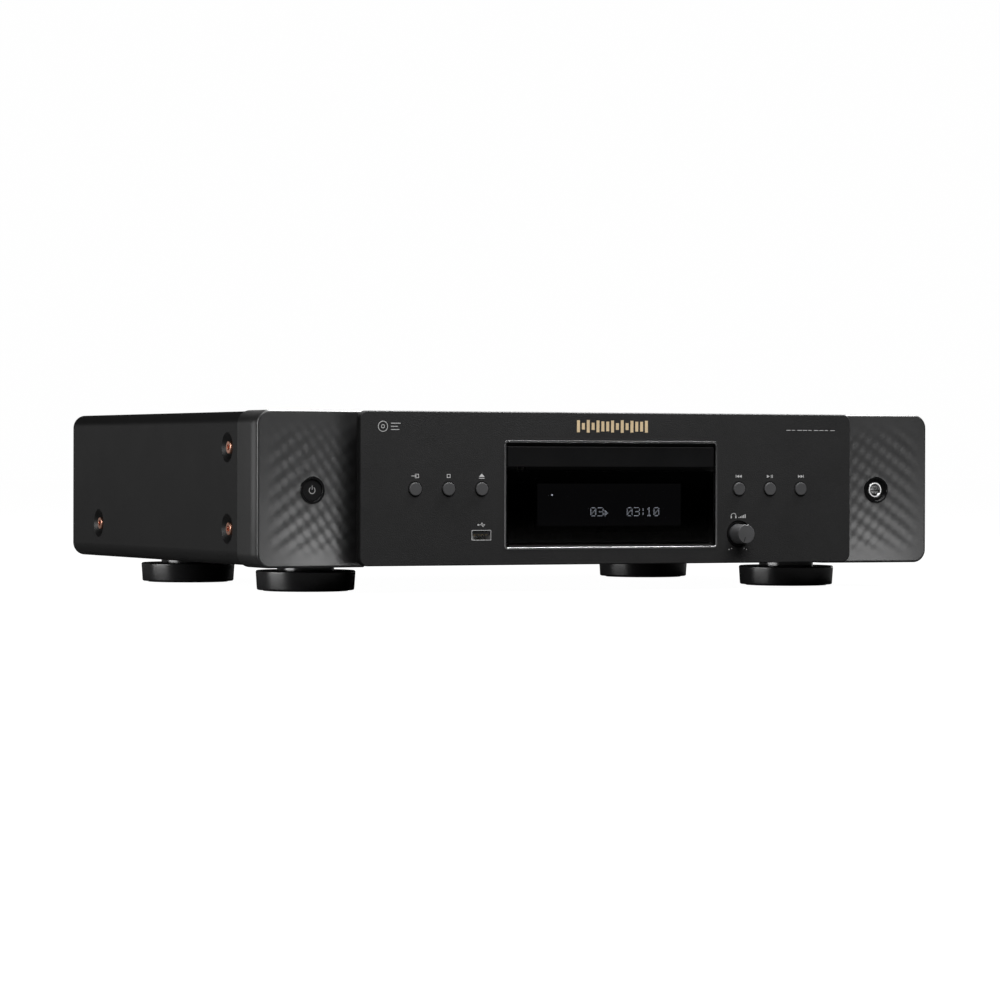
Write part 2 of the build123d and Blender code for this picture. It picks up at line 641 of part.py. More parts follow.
def switch_boards():
    """Boards behind the two groups of buttons and the power button, with their switches."""
    left, right = board_span()
    board = block(left, right, BOARD_FACE, BOARD_FACE + BOARD_THICK, BOARD_LOW, BOARD_HIGH)
    half = SWITCH_SIZE / 2
    for x in BUTTON_COLUMNS:
        switch_face = BUTTON_LENGTH + BUTTON_TRAVEL + SWITCH_GAP
        board += block(x - half, x + half, switch_face, BOARD_FACE, BUTTON_ROW - half, BUTTON_ROW + half)
    power = block(POWER_X - 12, POWER_X + 12, END_BOARD_FACE, END_BOARD_FACE + BOARD_THICK,
                  END_CONTROL_ROW - 18, END_CONTROL_ROW + 18)
    power += block(POWER_X - half, POWER_X + half, END_BOARD_FACE - half, END_BOARD_FACE,
                   END_CONTROL_ROW - half, END_CONTROL_ROW + half)
    return [board, mirror(board, about=Plane.YZ), power]


def button(x):
    """A turned cap with a retaining flange and a stem that reaches the switch."""
    cap = rod_y(x, BUTTON_ROW, BUTTON_RADIUS, -BUTTON_PROUD, PLATE_THICK)
    cap = fillet(cap.edges().sort_by(Axis.Y)[0], 0.4)
    cap += rod_y(x, BUTTON_ROW, BUTTON_RADIUS + BUTTON_FLANGE, PLATE_THICK, PLATE_THICK + 1.2)
    return cap + rod_y(x, BUTTON_ROW, BUTTON_STEM, PLATE_THICK, BUTTON_LENGTH)


def level_knob():
    knob = Plane(origin=(KNOB_X, KNOB_REACH, KNOB_ROW), z_dir=(0, -1, 0)) * Cone(
        KNOB_RADIUS, KNOB_RADIUS - KNOB_DRAFT, KNOB_REACH + KNOB_PROUD,
        align=(Align.CENTER, Align.CENTER, Align.MIN))
    knob = chamfer(knob.edges().sort_by(Axis.Y)[0], KNOB_EDGE)
    return knob + rod_y(KNOB_X, KNOB_ROW, SHAFT_RADIUS, KNOB_REACH, BOARD_FACE - 1.5)


def level_control():
    """The rotary control that the knob's shaft turns in."""
    front = BOARD_FACE - CONTROL_LENGTH
    body = rod_y(KNOB_X, KNOB_ROW, CONTROL_RADIUS, front, BOARD_FACE)
    return body - rod_y(KNOB_X, KNOB_ROW, SHAFT_RADIUS + RUNNING_FIT, front - 1, BOARD_FACE - 1)


# ---------------------------------------------------------------- case
def side_cone(y, z, grow, x_from, x_to):
    """A cone along X on the right side, whose radius runs from the dish's rim to its floor."""
    return Plane(origin=(x_from, y, z), z_dir=(-1, 0, 0)) * Cone(
        DISH_RADIUS + grow, DISH_FLOOR_RADIUS + grow, x_from - x_to,
        align=(Align.CENTER, Align.CENTER, Align.MIN))


def top_cover():
    """A sheet cover folded over the top and sides, with a flange under each side."""
    def form(inset, y0, y1):
        return rounded(-COVER_HALF + inset, COVER_HALF - inset, COVER_BOTTOM + inset,
                       COVER_TOP - inset, COVER_CORNER - inset, y0, y1)

    cover = form(0, COVER_FRONT, CASE_DEPTH) - form(COVER_SHEET, 0, CASE_DEPTH + 1)
    lip = COVER_HALF - COVER_RETURN
    cover -= block(-lip, lip, 0, CASE_DEPTH + 1, 0, COVER_BOTTOM + 2 * COVER_SHEET)
    for y, z in SIDE_SCREWS:
        dish = side_cone(y, z, COVER_SHEET * 0.8, COVER_HALF - 0.4, COVER_HALF - DISH_DEPTH - COVER_SHEET)
        cover += both_sides(dish)
    for y, z in SIDE_SCREWS:
        cover -= both_sides(side_cone(y, z, 0, COVER_HALF, COVER_HALF - DISH_DEPTH))
        hole = THREAD_RADIUS + THREAD_CLEARANCE
        cover -= both_sides(rod_x(y, z, hole, COVER_HALF - DISH_DEPTH - 3, COVER_HALF))
    return cover


def bottom_chassis():
    """A folded pan with side walls, front wall, vents and the spacers of the boards."""
    back = REAR_INSIDE
    pan = rounded(-CHASSIS_HALF, CHASSIS_HALF, CHASSIS_BOTTOM, CHASSIS_BOTTOM + CHASSIS_EAR,
                  CHASSIS_CORNER, FRONT_DEPTH, back)
    inner = CHASSIS_HALF - CHASSIS_SHEET
    pan -= rounded(-inner, inner, DECK, 2 * TOP, CHASSIS_CORNER - CHASSIS_SHEET,
                   FRONT_DEPTH + CHASSIS_SHEET, back + 1)
    low = CHASSIS_BOTTOM + CHASSIS_WALL
    pan -= block(-HALF, HALF, FRONT_DEPTH + CHASSIS_EAR_LENGTH, back + 1, low, 2 * TOP)
    pan -= block(-HALF, HALF, 0, back + 1, CHASSIS_BOTTOM + CHASSIS_EAR - CHASSIS_CORNER, 2 * TOP)
    opening = LOADER_HALF + 8
    pan -= block(-opening, opening, 0, FRONT_DEPTH + 2 * CHASSIS_SHEET, LOADER_FLOOR - 10, 2 * TOP)
    for y, z in SIDE_SCREWS:
        hole = THREAD_RADIUS
        pan -= both_sides(rod_x(y, z, hole, inner - 1, CHASSIS_HALF + 1))
    for y in (DISC_Y + 25, CASE_DEPTH - FOOT_REAR - 60):
        pan -= slots(0, y, VENT_WIDTH, VENT_LENGTH, VENT_PITCH, VENT_COUNT, 0, DECK + 1)
    for x, y in FEET.values():
        pan -= rod_z(x, y, THREAD_RADIUS, 0, DECK + 1)
    for x, y in spacer_places():
        pan += rod_z(x, y, SPACER_RADIUS, DECK - CHASSIS_SHEET / 2, CIRCUIT)
    return pan


def rear_panel():
    edge = COVER_SHEET + FIT
    panel = rounded(-COVER_HALF + edge, COVER_HALF - edge, DECK, COVER_TOP - edge,
                    COVER_CORNER - edge, REAR_INSIDE, REAR_FACE)
    for x in phono_columns():
        panel -= rod_y(x, LINE_SOCKET_ROW, PHONO_RADIUS + FIT, 0, CASE_DEPTH)
    panel -= optical_block(FIT, 0, CASE_DEPTH)
    for x in remote_columns():
        panel -= rod_y(x, LINE_SOCKET_ROW, REMOTE_BORE + 1.5 + FIT, 0, CASE_DEPTH)
    panel -= inlet_block(INLET_WALL + FIT, 0, CASE_DEPTH)
    return panel


def cover_screws():
    """Socket-head screws that hold the cover to the chassis at each side."""
    screws = []
    for y, z in SIDE_SCREWS:
        seat = COVER_HALF - DISH_DEPTH
        screw = rod_x(y, z, HEAD_RADIUS, seat, seat + HEAD_HEIGHT)
        screw = fillet(screw.edges().sort_by(Axis.X)[-1], 0.5)
        screw += rod_x(y, z, THREAD_RADIUS, seat - SCREW_LENGTH, seat + 0.5)
        socket = Plane(origin=(seat + HEAD_HEIGHT, y, z), z_dir=(-1, 0, 0)) * RegularPolygon(HEX_RADIUS, 6)
        screw -= extrude(socket, HEX_DEPTH)
        screws += [screw, mirror(screw, about=Plane.YZ)]
    return screws


def chassis_screws():
    """Screws through the rear panel into blocks that stand on the pan."""
    screws = []
    for x in (-0.85 * COVER_HALF, -0.3 * COVER_HALF, 0.3 * COVER_HALF, 0.85 * COVER_HALF):
        head = rod_y(x, DECK + 6, 3.0, REAR_FACE, REAR_FACE + 0.7)
        screws.append(fillet(head.edges().sort_by(Axis.Y)[-1], 0.4))
    return screws


def foot(x, y):
    """A broad turned foot on a narrow neck, with a recess under it for the pad."""
    profile = Polyline((0, PAD_PROUD), (FOOT_RADIUS - FOOT_TAPER, PAD_PROUD), (FOOT_RADIUS, FOOT_HEIGHT),
                       (FOOT_NECK, FOOT_HEIGHT), (FOOT_NECK, CHASSIS_BOTTOM), (0, CHASSIS_BOTTOM),
                       close=True)
    body = revolve(Plane.XZ * make_face(profile), Axis.Z)
    rims = body.edges().filter_by(GeomType.CIRCLE).filter_by(lambda e: e.radius > FOOT_NECK + 1)
    body = fillet(rims, FOOT_EDGE)
    body = Pos(x, y, 0) * body
    body -= rod_z(x, y, PAD_RADIUS + FIT / 2, 0, PAD_THICK)
    body -= rod_z(x, y, HEAD_RADIUS + FIT, 0, PAD_THICK + HEAD_HEIGHT)
    return body - rod_z(x, y, THREAD_RADIUS + THREAD_CLEARANCE, 0, TOP)


def foot_pads():
    """A soft ring under each foot, round the head of its screw."""
    pads = []
    for x, y in FEET.values():
        pad = rod_z(x, y, PAD_RADIUS, 0, PAD_THICK)
        pads.append(pad - rod_z(x, y, HEAD_RADIUS + 2, -1, PAD_THICK + 1))
    return pads


def foot_screws():
    screws = []
    for x, y in FEET.values():
        screw = rod_z(x, y, HEAD_RADIUS, PAD_THICK, PAD_THICK + HEAD_HEIGHT)
        screws.append(screw + rod_z(x, y, THREAD_RADIUS, PAD_THICK + 1, DECK + 3))
    return screws


# ---------------------------------------------------------------- loader
def involute_gear(teeth, bore, z0, z1, start):
    """A spur gear about the Z axis, with a tooth centred on the angle start, in radians."""
    pitch = MODULE * teeth / 2
    base = pitch * cos(radians(PRESSURE_ANGLE))
    tip = pitch + ADDENDUM * MODULE
    root = pitch - DEDENDUM * MODULE
    half = pi / (2 * teeth) - BACKLASH / (4 * pitch)
    flank_at_pitch = tan(radians(PRESSURE_ANGLE)) - radians(PRESSURE_ANGLE)

    def flank(radius):
        """Half angle of the tooth at a radius on its involute side."""
        pressure = acos(base / radius)
        return half + flank_at_pitch - (tan(pressure) - pressure)

    def spot(radius, angle):
        return (radius * cos(angle), radius * sin(angle))

    foot_radius = max(base + 0.001, root)
    radii = [foot_radius + (tip - foot_radius) * i / 3 for i in range(4)]
    outline = None
    for i in range(teeth):
        middle = start + 2 * pi * i / teeth
        gap = middle + pi / teeth
        rising = [spot(r, middle - flank(r)) for r in radii]
        falling = [spot(r, middle + flank(r)) for r in reversed(radii)]
        low_in = spot(root, middle - flank(foot_radius))
        low_out = spot(root, middle + flank(foot_radius))
        next_in = spot(root, middle + 2 * pi / teeth - flank(foot_radius))
        tooth = Spline(*rising) + ThreePointArc(rising[-1], spot(tip, middle), falling[0])
        tooth += Spline(*falling)
        if root < foot_radius:
            tooth += Line(low_in, rising[0]) + Line(falling[-1], low_out)
        tooth += ThreePointArc(low_out, spot(root, gap), next_in)
        outline = tooth if outline is None else outline + tooth
    gear = extrude(Pos(0, 0, z0) * make_face(outline), z1 - z0)
    return gear - rod_z(0, 0, bore, z0 - 1, z1 + 1)


def rack():
    """The tray's toothed bar; its teeth face +X and mesh with the drive gear."""
    step = pi * MODULE
    slope = tan(radians(PRESSURE_ANGLE))
    half = step / 4 - BACKLASH / 4
    tip = ADDENDUM * MODULE
    root = DEDENDUM * MODULE
    first = DRIVE_Y + step / 2
    start = first - step * int((first - RACK_START) / step)
    count = int((TRAY_REAR - 4 - start) / step)
    points = [(-RACK_LINE - RACK_BACK, start - step / 2)]
    for i in range(count):
        middle = start + i * step
        points.append((-RACK_LINE - root, middle - half - root * slope))
        points.append((-RACK_LINE + tip, middle - half + tip * slope))
        points.append((-RACK_LINE + tip, middle + half - tip * slope))
        points.append((-RACK_LINE - root, middle + half + root * slope))
    points.append((-RACK_LINE - RACK_BACK, points[-1][1]))
    points[0] = (points[0][0], points[1][1])
    bar = make_face(Polyline(*points, close=True))
    return extrude(Pos(0, 0, RACK_BOTTOM) * bar, RACK_HEIGHT)


def tray():
    """The sliding tray: two nested disc pockets, an open-ended slot and the rack."""
    body = block(-TRAY_HALF, TRAY_HALF, DOOR_BACK, TRAY_REAR, TRAY_BOTTOM, TRAY_TOP)
    body -= rod_z(0, DISC_Y, POCKET_RADIUS, TRAY_FLOOR, TRAY_TOP + 1)
    small = SMALL_DISC_DIAMETER / 2 + POCKET_CLEARANCE
    body -= rod_z(0, DISC_Y, small, TRAY_FLOOR - SMALL_POCKET_DEPTH, TRAY_TOP + 1)
    half = SLOT_WIDTH / 2
    body -= rod_z(0, DISC_Y, half, 0, TOP)
    body -= block(-half, half, DISC_Y, TRAY_REAR + 1, 0, TOP)
    return body + rack()


def tray_door():
    door = rounded(-DOOR_HALF, DOOR_HALF, DOOR_BOTTOM, DOOR_TOP, 0.5, DOOR_FACE, DOOR_BACK)
    return chamfer(door.faces().sort_by(Axis.Y)[0].edges(), 0.35)


def loader_frame():
    """Open frame on four legs: side walls, floor with a window, tray ledges and gear deck."""
    inner = LOADER_HALF - LOADER_WALL
    frame = block(-LOADER_HALF, LOADER_HALF, LOADER_FRONT, LOADER_REAR, LOADER_FLOOR, BRIDGE_BOTTOM)
    frame -= block(-inner, inner, LOADER_FRONT - 1, LOADER_REAR - LOADER_WALL,
                   LOADER_FLOOR + LOADER_FLOOR_THICK, BRIDGE_BOTTOM + 1)
    window = TRAVERSE_HALF + 1.5
    frame -= block(-window, window, DECK_REAR - 4, PIVOT_Y + 6, 0, LOADER_FLOOR + 5)
    ledge = block(inner - LEDGE_WIDTH, inner + 0.5, LOADER_FRONT, TRAY_REAR,
                  LEDGE_TOP - LEDGE_THICK, LEDGE_TOP)
    guide_low = TRAY_TOP + SLIDE_CLEARANCE
    for y in (LOADER_FRONT, DISC_Y + 30, TRAY_REAR - 20):
        ledge += block(TRAY_HALF - 1.5, inner + 0.5, y, y + 18, guide_low, guide_low + 1.7)
    frame += both_sides(ledge)
    deck_top = DECK_HEIGHT + DECK_THICK
    frame += block(-inner - 0.5, inner + 0.5, LOADER_FRONT, DECK_REAR, DECK_HEIGHT, deck_top)
    frame -= rod_z(MOTOR_X, DRIVE_Y, MOTOR_BOSS + FIT, DECK_HEIGHT - 1, DECK_HEIGHT + 5)
    frame -= rod_z(MOTOR_X, DRIVE_Y, MOTOR_RADIUS + 1, LOADER_FLOOR - 1, LOADER_FLOOR + 5)
    frame += rod_z(DRIVE_X, DRIVE_Y, GEAR_BORE, deck_top - 1, TRAY_BOTTOM - 0.6)
    frame += rod_z(DRIVE_X, DRIVE_Y, GEAR_BORE + 2, deck_top - 1, DRIVE_BOTTOM - 0.3)
    frame += rod_z(BELT_GEAR_X, DRIVE_Y, GEAR_BORE, deck_top - 1, DRIVE_BOTTOM + 7)
    lug = block(window, window + PIVOT_LENGTH, PIVOT_Y - 5, PIVOT_Y + 5,
                LOADER_FLOOR + 1, PIVOT_Z + 5)
    lug -= rod_x(PIVOT_Y, PIVOT_Z, PIVOT_RADIUS + RUNNING_FIT, window - 1, window + PIVOT_LENGTH - 1)
    frame += both_sides(lug)
    leg_x = LOADER_HALF - LEG_INSET
    for y in (FRONT_DEPTH + 12, LOADER_REAR - LEG_INSET):
        frame += both_sides(rod_z(leg_x, y, LEG_RADIUS, DECK, LOADER_FLOOR + 1))
    return frame


def clamp_bridge():
    """The strap over the tray that the disc clamp hangs in."""
    strap = block(-LOADER_HALF, LOADER_HALF, DISC_Y - BRIDGE_HALF_DEPTH, DISC_Y + BRIDGE_HALF_DEPTH,
                  BRIDGE_BOTTOM, BRIDGE_TOP)
    strap -= rod_z(0, DISC_Y, CLAMP_NECK + CLAMP_PLAY, 0, TOP)
    return strap


def clamper():
    """A magnetic puck: pressing plate below the bridge, flange above it."""
    puck = rod_z(0, DISC_Y, CLAMP_RADIUS, CLAMP_BOTTOM, CLAMP_BOTTOM + CLAMP_THICK)
    puck += rod_z(0, DISC_Y, CLAMP_NECK, CLAMP_BOTTOM + 1, BRIDGE_TOP + 1)
    puck += rod_z(0, DISC_Y, CLAMP_FLANGE, BRIDGE_TOP + SLIDE_CLEARANCE, BRIDGE_TOP + 2)
    puck -= rod_z(0, DISC_Y, HUB_RADIUS + 0.65, 0, CLAMP_BOTTOM + 1)
    for turn in range(3):
        hole = Pos(0, DISC_Y, 0) * Rot(0, 0, 120 * turn) * rod_z(12.0, 0, 1.2, 0, CLAMP_BOTTOM + 5)
        puck -= hole
    return puck


def pulley(radius, bore, z0, z1):
    """A flanged wheel about the Z axis whose groove takes the square belt."""
    wheel = rod_z(0, 0, radius + PULLEY_LIP, z0, z1)
    groove = rod_z(0, 0, radius + 2 * PULLEY_LIP, BELT_LOW - BELT_GAP, BELT_LOW + BELT_SIZE + BELT_GAP)
    wheel -= groove - rod_z(0, 0, radius, z0 - 1, z1 + 1)
    return wheel - rod_z(0, 0, bore, z0 - 1, z1 + 1)


def drive_gear():
    gear = involute_gear(DRIVE_TEETH, GEAR_BORE + RUNNING_FIT, DRIVE_BOTTOM, TRAY_BOTTOM - 0.4, 0)
    return Pos(DRIVE_X, DRIVE_Y, 0) * gear


def belt_gear():
    """Pinion and large pulley in one moulding."""
    start = pi + pi / PINION_TEETH
    gear = involute_gear(PINION_TEETH, GEAR_BORE + RUNNING_FIT, PULLEY_TOP - 0.5, DRIVE_BOTTOM + 6, start)
    gear += pulley(PULLEY_RADIUS, GEAR_BORE + RUNNING_FIT, PULLEY_BOTTOM, PULLEY_TOP)
    return Pos(BELT_GEAR_X, DRIVE_Y, 0) * gear


def motor_pulley():
    return Pos(MOTOR_X, DRIVE_Y, 0) * pulley(MOTOR_PULLEY_RADIUS, MOTOR_SHAFT + RUNNING_FIT,
                                              PULLEY_BOTTOM, PULLEY_TOP)


def loading_motor():
    """A small motor hung under the gear deck, its shaft up through it."""
    can = rod_z(MOTOR_X, DRIVE_Y, MOTOR_RADIUS, DECK_HEIGHT - MOTOR_HEIGHT, DECK_HEIGHT)
    can = fillet(can.edges().sort_by(Axis.Z)[0], 1.5)
    can += rod_z(MOTOR_X, DRIVE_Y, MOTOR_BOSS, DECK_HEIGHT - 1, DECK_HEIGHT + DECK_THICK)
    return can + rod_z(MOTOR_X, DRIVE_Y, MOTOR_SHAFT, DECK_HEIGHT, PULLEY_TOP - 0.5)


def belt_outline(extra):
    """The loop round both pulleys, at a distance outside their grooves."""
    big = PULLEY_RADIUS + extra
    small = MOTOR_PULLEY_RADIUS + extra
    span = MOTOR_X - BELT_GEAR_X
    lean = acos((big - small) / span)
    top_big = (BELT_GEAR_X + big * cos(lean), big * sin(lean))
    low_big = (top_big[0], -top_big[1])
    top_small = (MOTOR_X + small * cos(lean), small * sin(lean))
    low_small = (top_small[0], -top_small[1])
    loop = ThreePointArc(top_big, (BELT_GEAR_X - big, 0), low_big)
    loop += Line(low_big, low_small)
    loop += ThreePointArc(low_small, (MOTOR_X + small, 0), top_small)
    loop += Line(top_small, top_big)
    return Pos(0, DRIVE_Y, BELT_LOW) * make_face(loop)


def drive_belt():
    outer = extrude(belt_outline(BELT_GAP + BELT_SIZE), BELT_SIZE)
    return outer - extrude(belt_outline(BELT_GAP), BELT_SIZE)


# ---------------------------------------------------------------- traverse
def traverse_base():
    """The tilting plate that carries the spindle motor, guide rods and sled."""
    plate = block(-TRAVERSE_HALF, TRAVERSE_HALF, TRAVERSE_FRONT, PIVOT_Y - 6, TRAVERSE_BOTTOM, TRAVERSE_TOP)
    plate -= block(-ROD_OFFSET + 8, ROD_OFFSET - 8, ROD_FRONT + 8, ROD_REAR - 12, 0, TRAVERSE_TOP + 1)
    arm = block(TRAVERSE_HALF - 7, TRAVERSE_HALF, PIVOT_Y - 8, PIVOT_Y + 4,
                TRAVERSE_BOTTOM - 1.5, TRAVERSE_TOP + 1.5)
    arm += rod_x(PIVOT_Y, PIVOT_Z, PIVOT_RADIUS, TRAVERSE_HALF - 1, TRAVERSE_HALF + PIVOT_LENGTH)
    plate += both_sides(arm)
    for y in (ROD_FRONT, ROD_REAR - BOSS_LENGTH):
        boss = block(ROD_OFFSET - 3, ROD_OFFSET + 3, y, y + BOSS_LENGTH, TRAVERSE_TOP - 1, ROD_HEIGHT + 3)
        boss -= rod_y(ROD_OFFSET, ROD_HEIGHT, ROD_RADIUS, y - 1, y + BOSS_LENGTH + 1)
        plate += both_sides(boss)
    bearing = block(-SCREW_OFFSET - 3, -SCREW_OFFSET + 3, ROD_FRONT, ROD_FRONT + BOSS_LENGTH,
                    TRAVERSE_TOP - 1, ROD_HEIGHT + 3)
    bearing -= rod_y(-SCREW_OFFSET, ROD_HEIGHT, ROD_RADIUS + RUNNING_FIT,
                     ROD_FRONT + 1, ROD_FRONT + BOSS_LENGTH + 1)
    return plate + bearing


def guide_rods():
    rods = [rod_y(ROD_OFFSET * side, ROD_HEIGHT, ROD_RADIUS, ROD_FRONT, ROD_REAR) for side in (-1, 1)]
    return rods


def spindle_motor():
    can = rod_z(0, DISC_Y, SPINDLE_RADIUS, TRAVERSE_TOP, SPINDLE_TOP)
    can = fillet(can.edges().sort_by(Axis.Z)[-1], 1.0)
    return can + rod_z(0, DISC_Y, SPINDLE_SHAFT, SPINDLE_TOP - 1, TABLE_TOP + 0.5)


def sled_motor():
    end = SLED_MOTOR_START + SLED_MOTOR_LENGTH
    can = rod_y(-SCREW_OFFSET, ROD_HEIGHT, SLED_MOTOR_RADIUS, SLED_MOTOR_START, end)
    return can - rod_y(-SCREW_OFFSET, ROD_HEIGHT, ROD_RADIUS + RUNNING_FIT,
                       SLED_MOTOR_START - 1, SLED_MOTOR_START + 4)


def lead_screw():
    return rod_y(-SCREW_OFFSET, ROD_HEIGHT, ROD_RADIUS, ROD_FRONT + 1.5, SLED_MOTOR_START + 3.5)


def turntable():
    """The disc's seat, with a tapered hub that centres it."""
    bore = SPINDLE_SHAFT + RUNNING_FIT
    profile = Polyline((bore, SPINDLE_TOP + 0.6), (5.0, SPINDLE_TOP + 0.6), (5.0, TABLE_TOP - TABLE_THICK),
                       (TABLE_RADIUS, TABLE_TOP - TABLE_THICK), (TABLE_RADIUS, TABLE_TOP),
                       (HUB_RADIUS, TABLE_TOP), (HUB_RADIUS - 0.8, TABLE_TOP + HUB_HEIGHT),
                       (bore, TABLE_TOP + HUB_HEIGHT), close=True)
    return Pos(0, DISC_Y, 0) * revolve(Plane.XZ * make_face(profile), Axis.Z)


def pickup():
    """The optical sled: a block bored for its rods, a raised head and the nut's arm."""
    back = SLED_FRONT + SLED_LENGTH
    body = block(-SLED_HALF, SLED_HALF, SLED_FRONT, back, ROD_HEIGHT - 4, ROD_HEIGHT + 3)
    body += block(-13, 13, SLED_FRONT + 1, SLED_FRONT + 18, ROD_HEIGHT + 2, TRAY_TOP - 4.5)
    body -= rod_z(0, LENS_Y, LENS_RADIUS + 0.6, TRAY_TOP - 6.6, TRAY_TOP)
    for side in (-1, 1):
        body -= rod_y(ROD_OFFSET * side, ROD_HEIGHT, ROD_RADIUS + RUNNING_FIT, SLED_FRONT - 1, back + 1)
    arm = block(-SCREW_OFFSET - 3.5, -SLED_HALF + 1, SLED_FRONT + 6, SLED_FRONT + 14,
                ROD_HEIGHT - 3, ROD_HEIGHT + 3)
    arm -= rod_y(-SCREW_OFFSET, ROD_HEIGHT, ROD_RADIUS + 0.2, SLED_FRONT, back)
    return body + arm


def pickup_lens():
    """The sprung lens holder with its small domed lens."""
    low = TRAY_TOP - 6.6 + LENS_FOCUS + 0.3
    high = TRAY_TOP - 3.2
    holder = rod_z(0, LENS_Y, LENS_RADIUS, low, high)
    holder = fillet(holder.edges().sort_by(Axis.Z)[-1], 0.5)
    dome = Pos(0, LENS_Y, high - 2.6) * Sphere(3.4)
    dome &= rod_z(0, LENS_Y, 2.2, high - 0.5, high + 2)
    return holder + dome


# ---------------------------------------------------------------- electronics
def power_board_box():
    x0 = -CHASSIS_HALF + SIDE_CLEAR
    return x0, x0 + POWER_BOARD_WIDTH, POWER_BOARD_START, POWER_BOARD_START + POWER_BOARD_LENGTH


def audio_board_box():
    x1 = CHASSIS_HALF - SIDE_CLEAR
    return x1 - AUDIO_BOARD_WIDTH, x1, AUDIO_BOARD_START, REAR_INSIDE - AUDIO_BOARD_END


def spacer_places():
    """Where the boards stand on the chassis."""
    places = []
    for x0, x1, y0, y1 in (power_board_box(), audio_board_box()):
        for x in (x0 + SPACER_INSET, x1 - SPACER_INSET):
            for y in (y0 + SPACER_INSET, y1 - SPACER_INSET):
                places.append((x, y))
    return places


def power_board():
    x0, x1, y0, y1 = power_board_box()
    board = block(x0, x1, y0, y1, CIRCUIT, CIRCUIT + BOARD_THICK)
    top = CIRCUIT + BOARD_THICK
    right = x1 - 12
    for i in range(RELAY_COUNT):
        front = y0 + 12 + RELAY_PITCH * i
        board += block(right - RELAY_WIDTH, right, front, front + RELAY_LENGTH,
                       top - BOARD_PARTS_SINK, top + RELAY_HEIGHT)
    return board


def capacitor_places():
    x0, _, _, y1 = power_board_box()
    first = x0 + 2 * CAN_RADIUS
    rear = y1 - 20
    return [(first + CAN_PITCH * i, rear - CAN_PITCH * j) for j in range(2) for i in range(2)]


def capacitors():
    """Smoothing capacitors that stand on the power board."""
    base = CIRCUIT + BOARD_THICK
    cans = []
    for x, y in capacitor_places():
        can = rod_z(x, y, CAN_RADIUS, base, base + CAN_HEIGHT)
        cans.append(fillet(can.edges().filter_by(GeomType.CIRCLE), CAN_EDGE))
    return cans


def heatsink():
    """A finned cooler for the regulators at the front of the power board."""
    x0, _, y0, _ = power_board_box()
    base = CIRCUIT + BOARD_THICK
    left = x0 + 8
    front = y0 + 10
    back = front + SINK_THICK
    span = (FIN_COUNT - 1) * FIN_PITCH + FIN_THICK
    body = block(left, left + span, front, back, base, base + SINK_HEIGHT)
    for i in range(FIN_COUNT):
        x = left + FIN_PITCH * i
        body += block(x, x + FIN_THICK, back - 1, back + FIN_DEPTH, base, base + SINK_HEIGHT)
    return body


def audio_board():
    """The main board with its shielded converter, small parts and film capacitors."""
    x0, x1, y0, y1 = audio_board_box()
    board = block(x0, x1, y0, y1, CIRCUIT, CIRCUIT + BOARD_THICK)
    top = CIRCUIT + BOARD_THICK
    low = top - BOARD_PARTS_SINK
    board += block(x0 + 30, x1 - 30, y0 + 70, y0 + 110, low, top + 9)
    board += block(x0 + 20, x0 + 42, y0 + 24, y0 + 46, low, top + 2.2)
    for row in range(FILM_ROWS):
        for column in range(FILM_ROWS):
            x = x0 + 24 + column * 4 * FILM_RADIUS
            y = y1 - 24 - row * 4.4 * FILM_RADIUS
            board += rod_z(x, y, FILM_RADIUS, low, top + FILM_HEIGHT)
    return board


def core_left():
    return -CHASSIS_HALF + SIDE_CLEAR + CORE_OFFSET


def transformer_core():
    """A laminated core with two windows, standing on the chassis."""
    x0 = core_left()
    y0, y1 = CORE_START, CORE_START + CORE_DEPTH
    core = block(x0, x0 + CORE_WIDTH, y0, y1, DECK, DECK + CORE_HEIGHT)
    span = (CORE_WIDTH - 4 * LIMB) / 2
    for x in (x0 + LIMB, x0 + 3 * LIMB + span):
        core -= block(x, x + span, y0 - 1, y1 + 1, DECK + LIMB, DECK + CORE_HEIGHT - LIMB)
    return core


def transformer_coil():
    """The winding round the middle limb."""
    x0 = core_left()
    span = (CORE_WIDTH - 4 * LIMB) / 2
    gap = WINDING_GAP
    coil = block(x0 + LIMB + gap, x0 + CORE_WIDTH - LIMB - gap,
                 CORE_START - WINDING_OVERHANG, CORE_START + CORE_DEPTH + WINDING_OVERHANG,
                 DECK + LIMB + gap, DECK + CORE_HEIGHT - LIMB - gap)
    coil = fillet(coil.edges().filter_by(Axis.Z), 6)
    limb_left = x0 + LIMB + span
    return coil - block(limb_left - gap, limb_left + 2 * LIMB + gap, CORE_START - gap,
                        CORE_START + CORE_DEPTH + gap, 0, TOP)


# ---------------------------------------------------------------- rear sockets
def phono_columns():
    outer = HALF - LINE_SOCKET_INSET
    coaxial = HALF - DIGITAL_INSET
    return outer, outer - PHONO_PITCH, coaxial


def remote_columns():
    first = HALF - REMOTE_INSET
    return first, first - 12.0


def phono(x):
    """A phono socket's barrel with its collar, from the panel's inner face to its mouth."""
    mouth = CASE_DEPTH + SOCKET_PROUD
    barrel = rod_y(x, LINE_SOCKET_ROW, PHONO_RADIUS, REAR_INSIDE, mouth)
    barrel += rod_y(x, LINE_SOCKET_ROW, PHONO_COLLAR, REAR_FACE, REAR_FACE + PHONO_COLLAR_THICK)
    return barrel - rod_y(x, LINE_SOCKET_ROW, PHONO_BORE, mouth - PHONO_DEPTH, mouth + 1)


def line_sockets():
    outer, inner, _ = phono_columns()
    row = LINE_SOCKET_ROW
    body = block(inner - 8, outer + 8, REAR_INSIDE - 12, REAR_INSIDE, CIRCUIT + BOARD_THICK, row + 8)
    return body + phono(outer) + phono(inner)


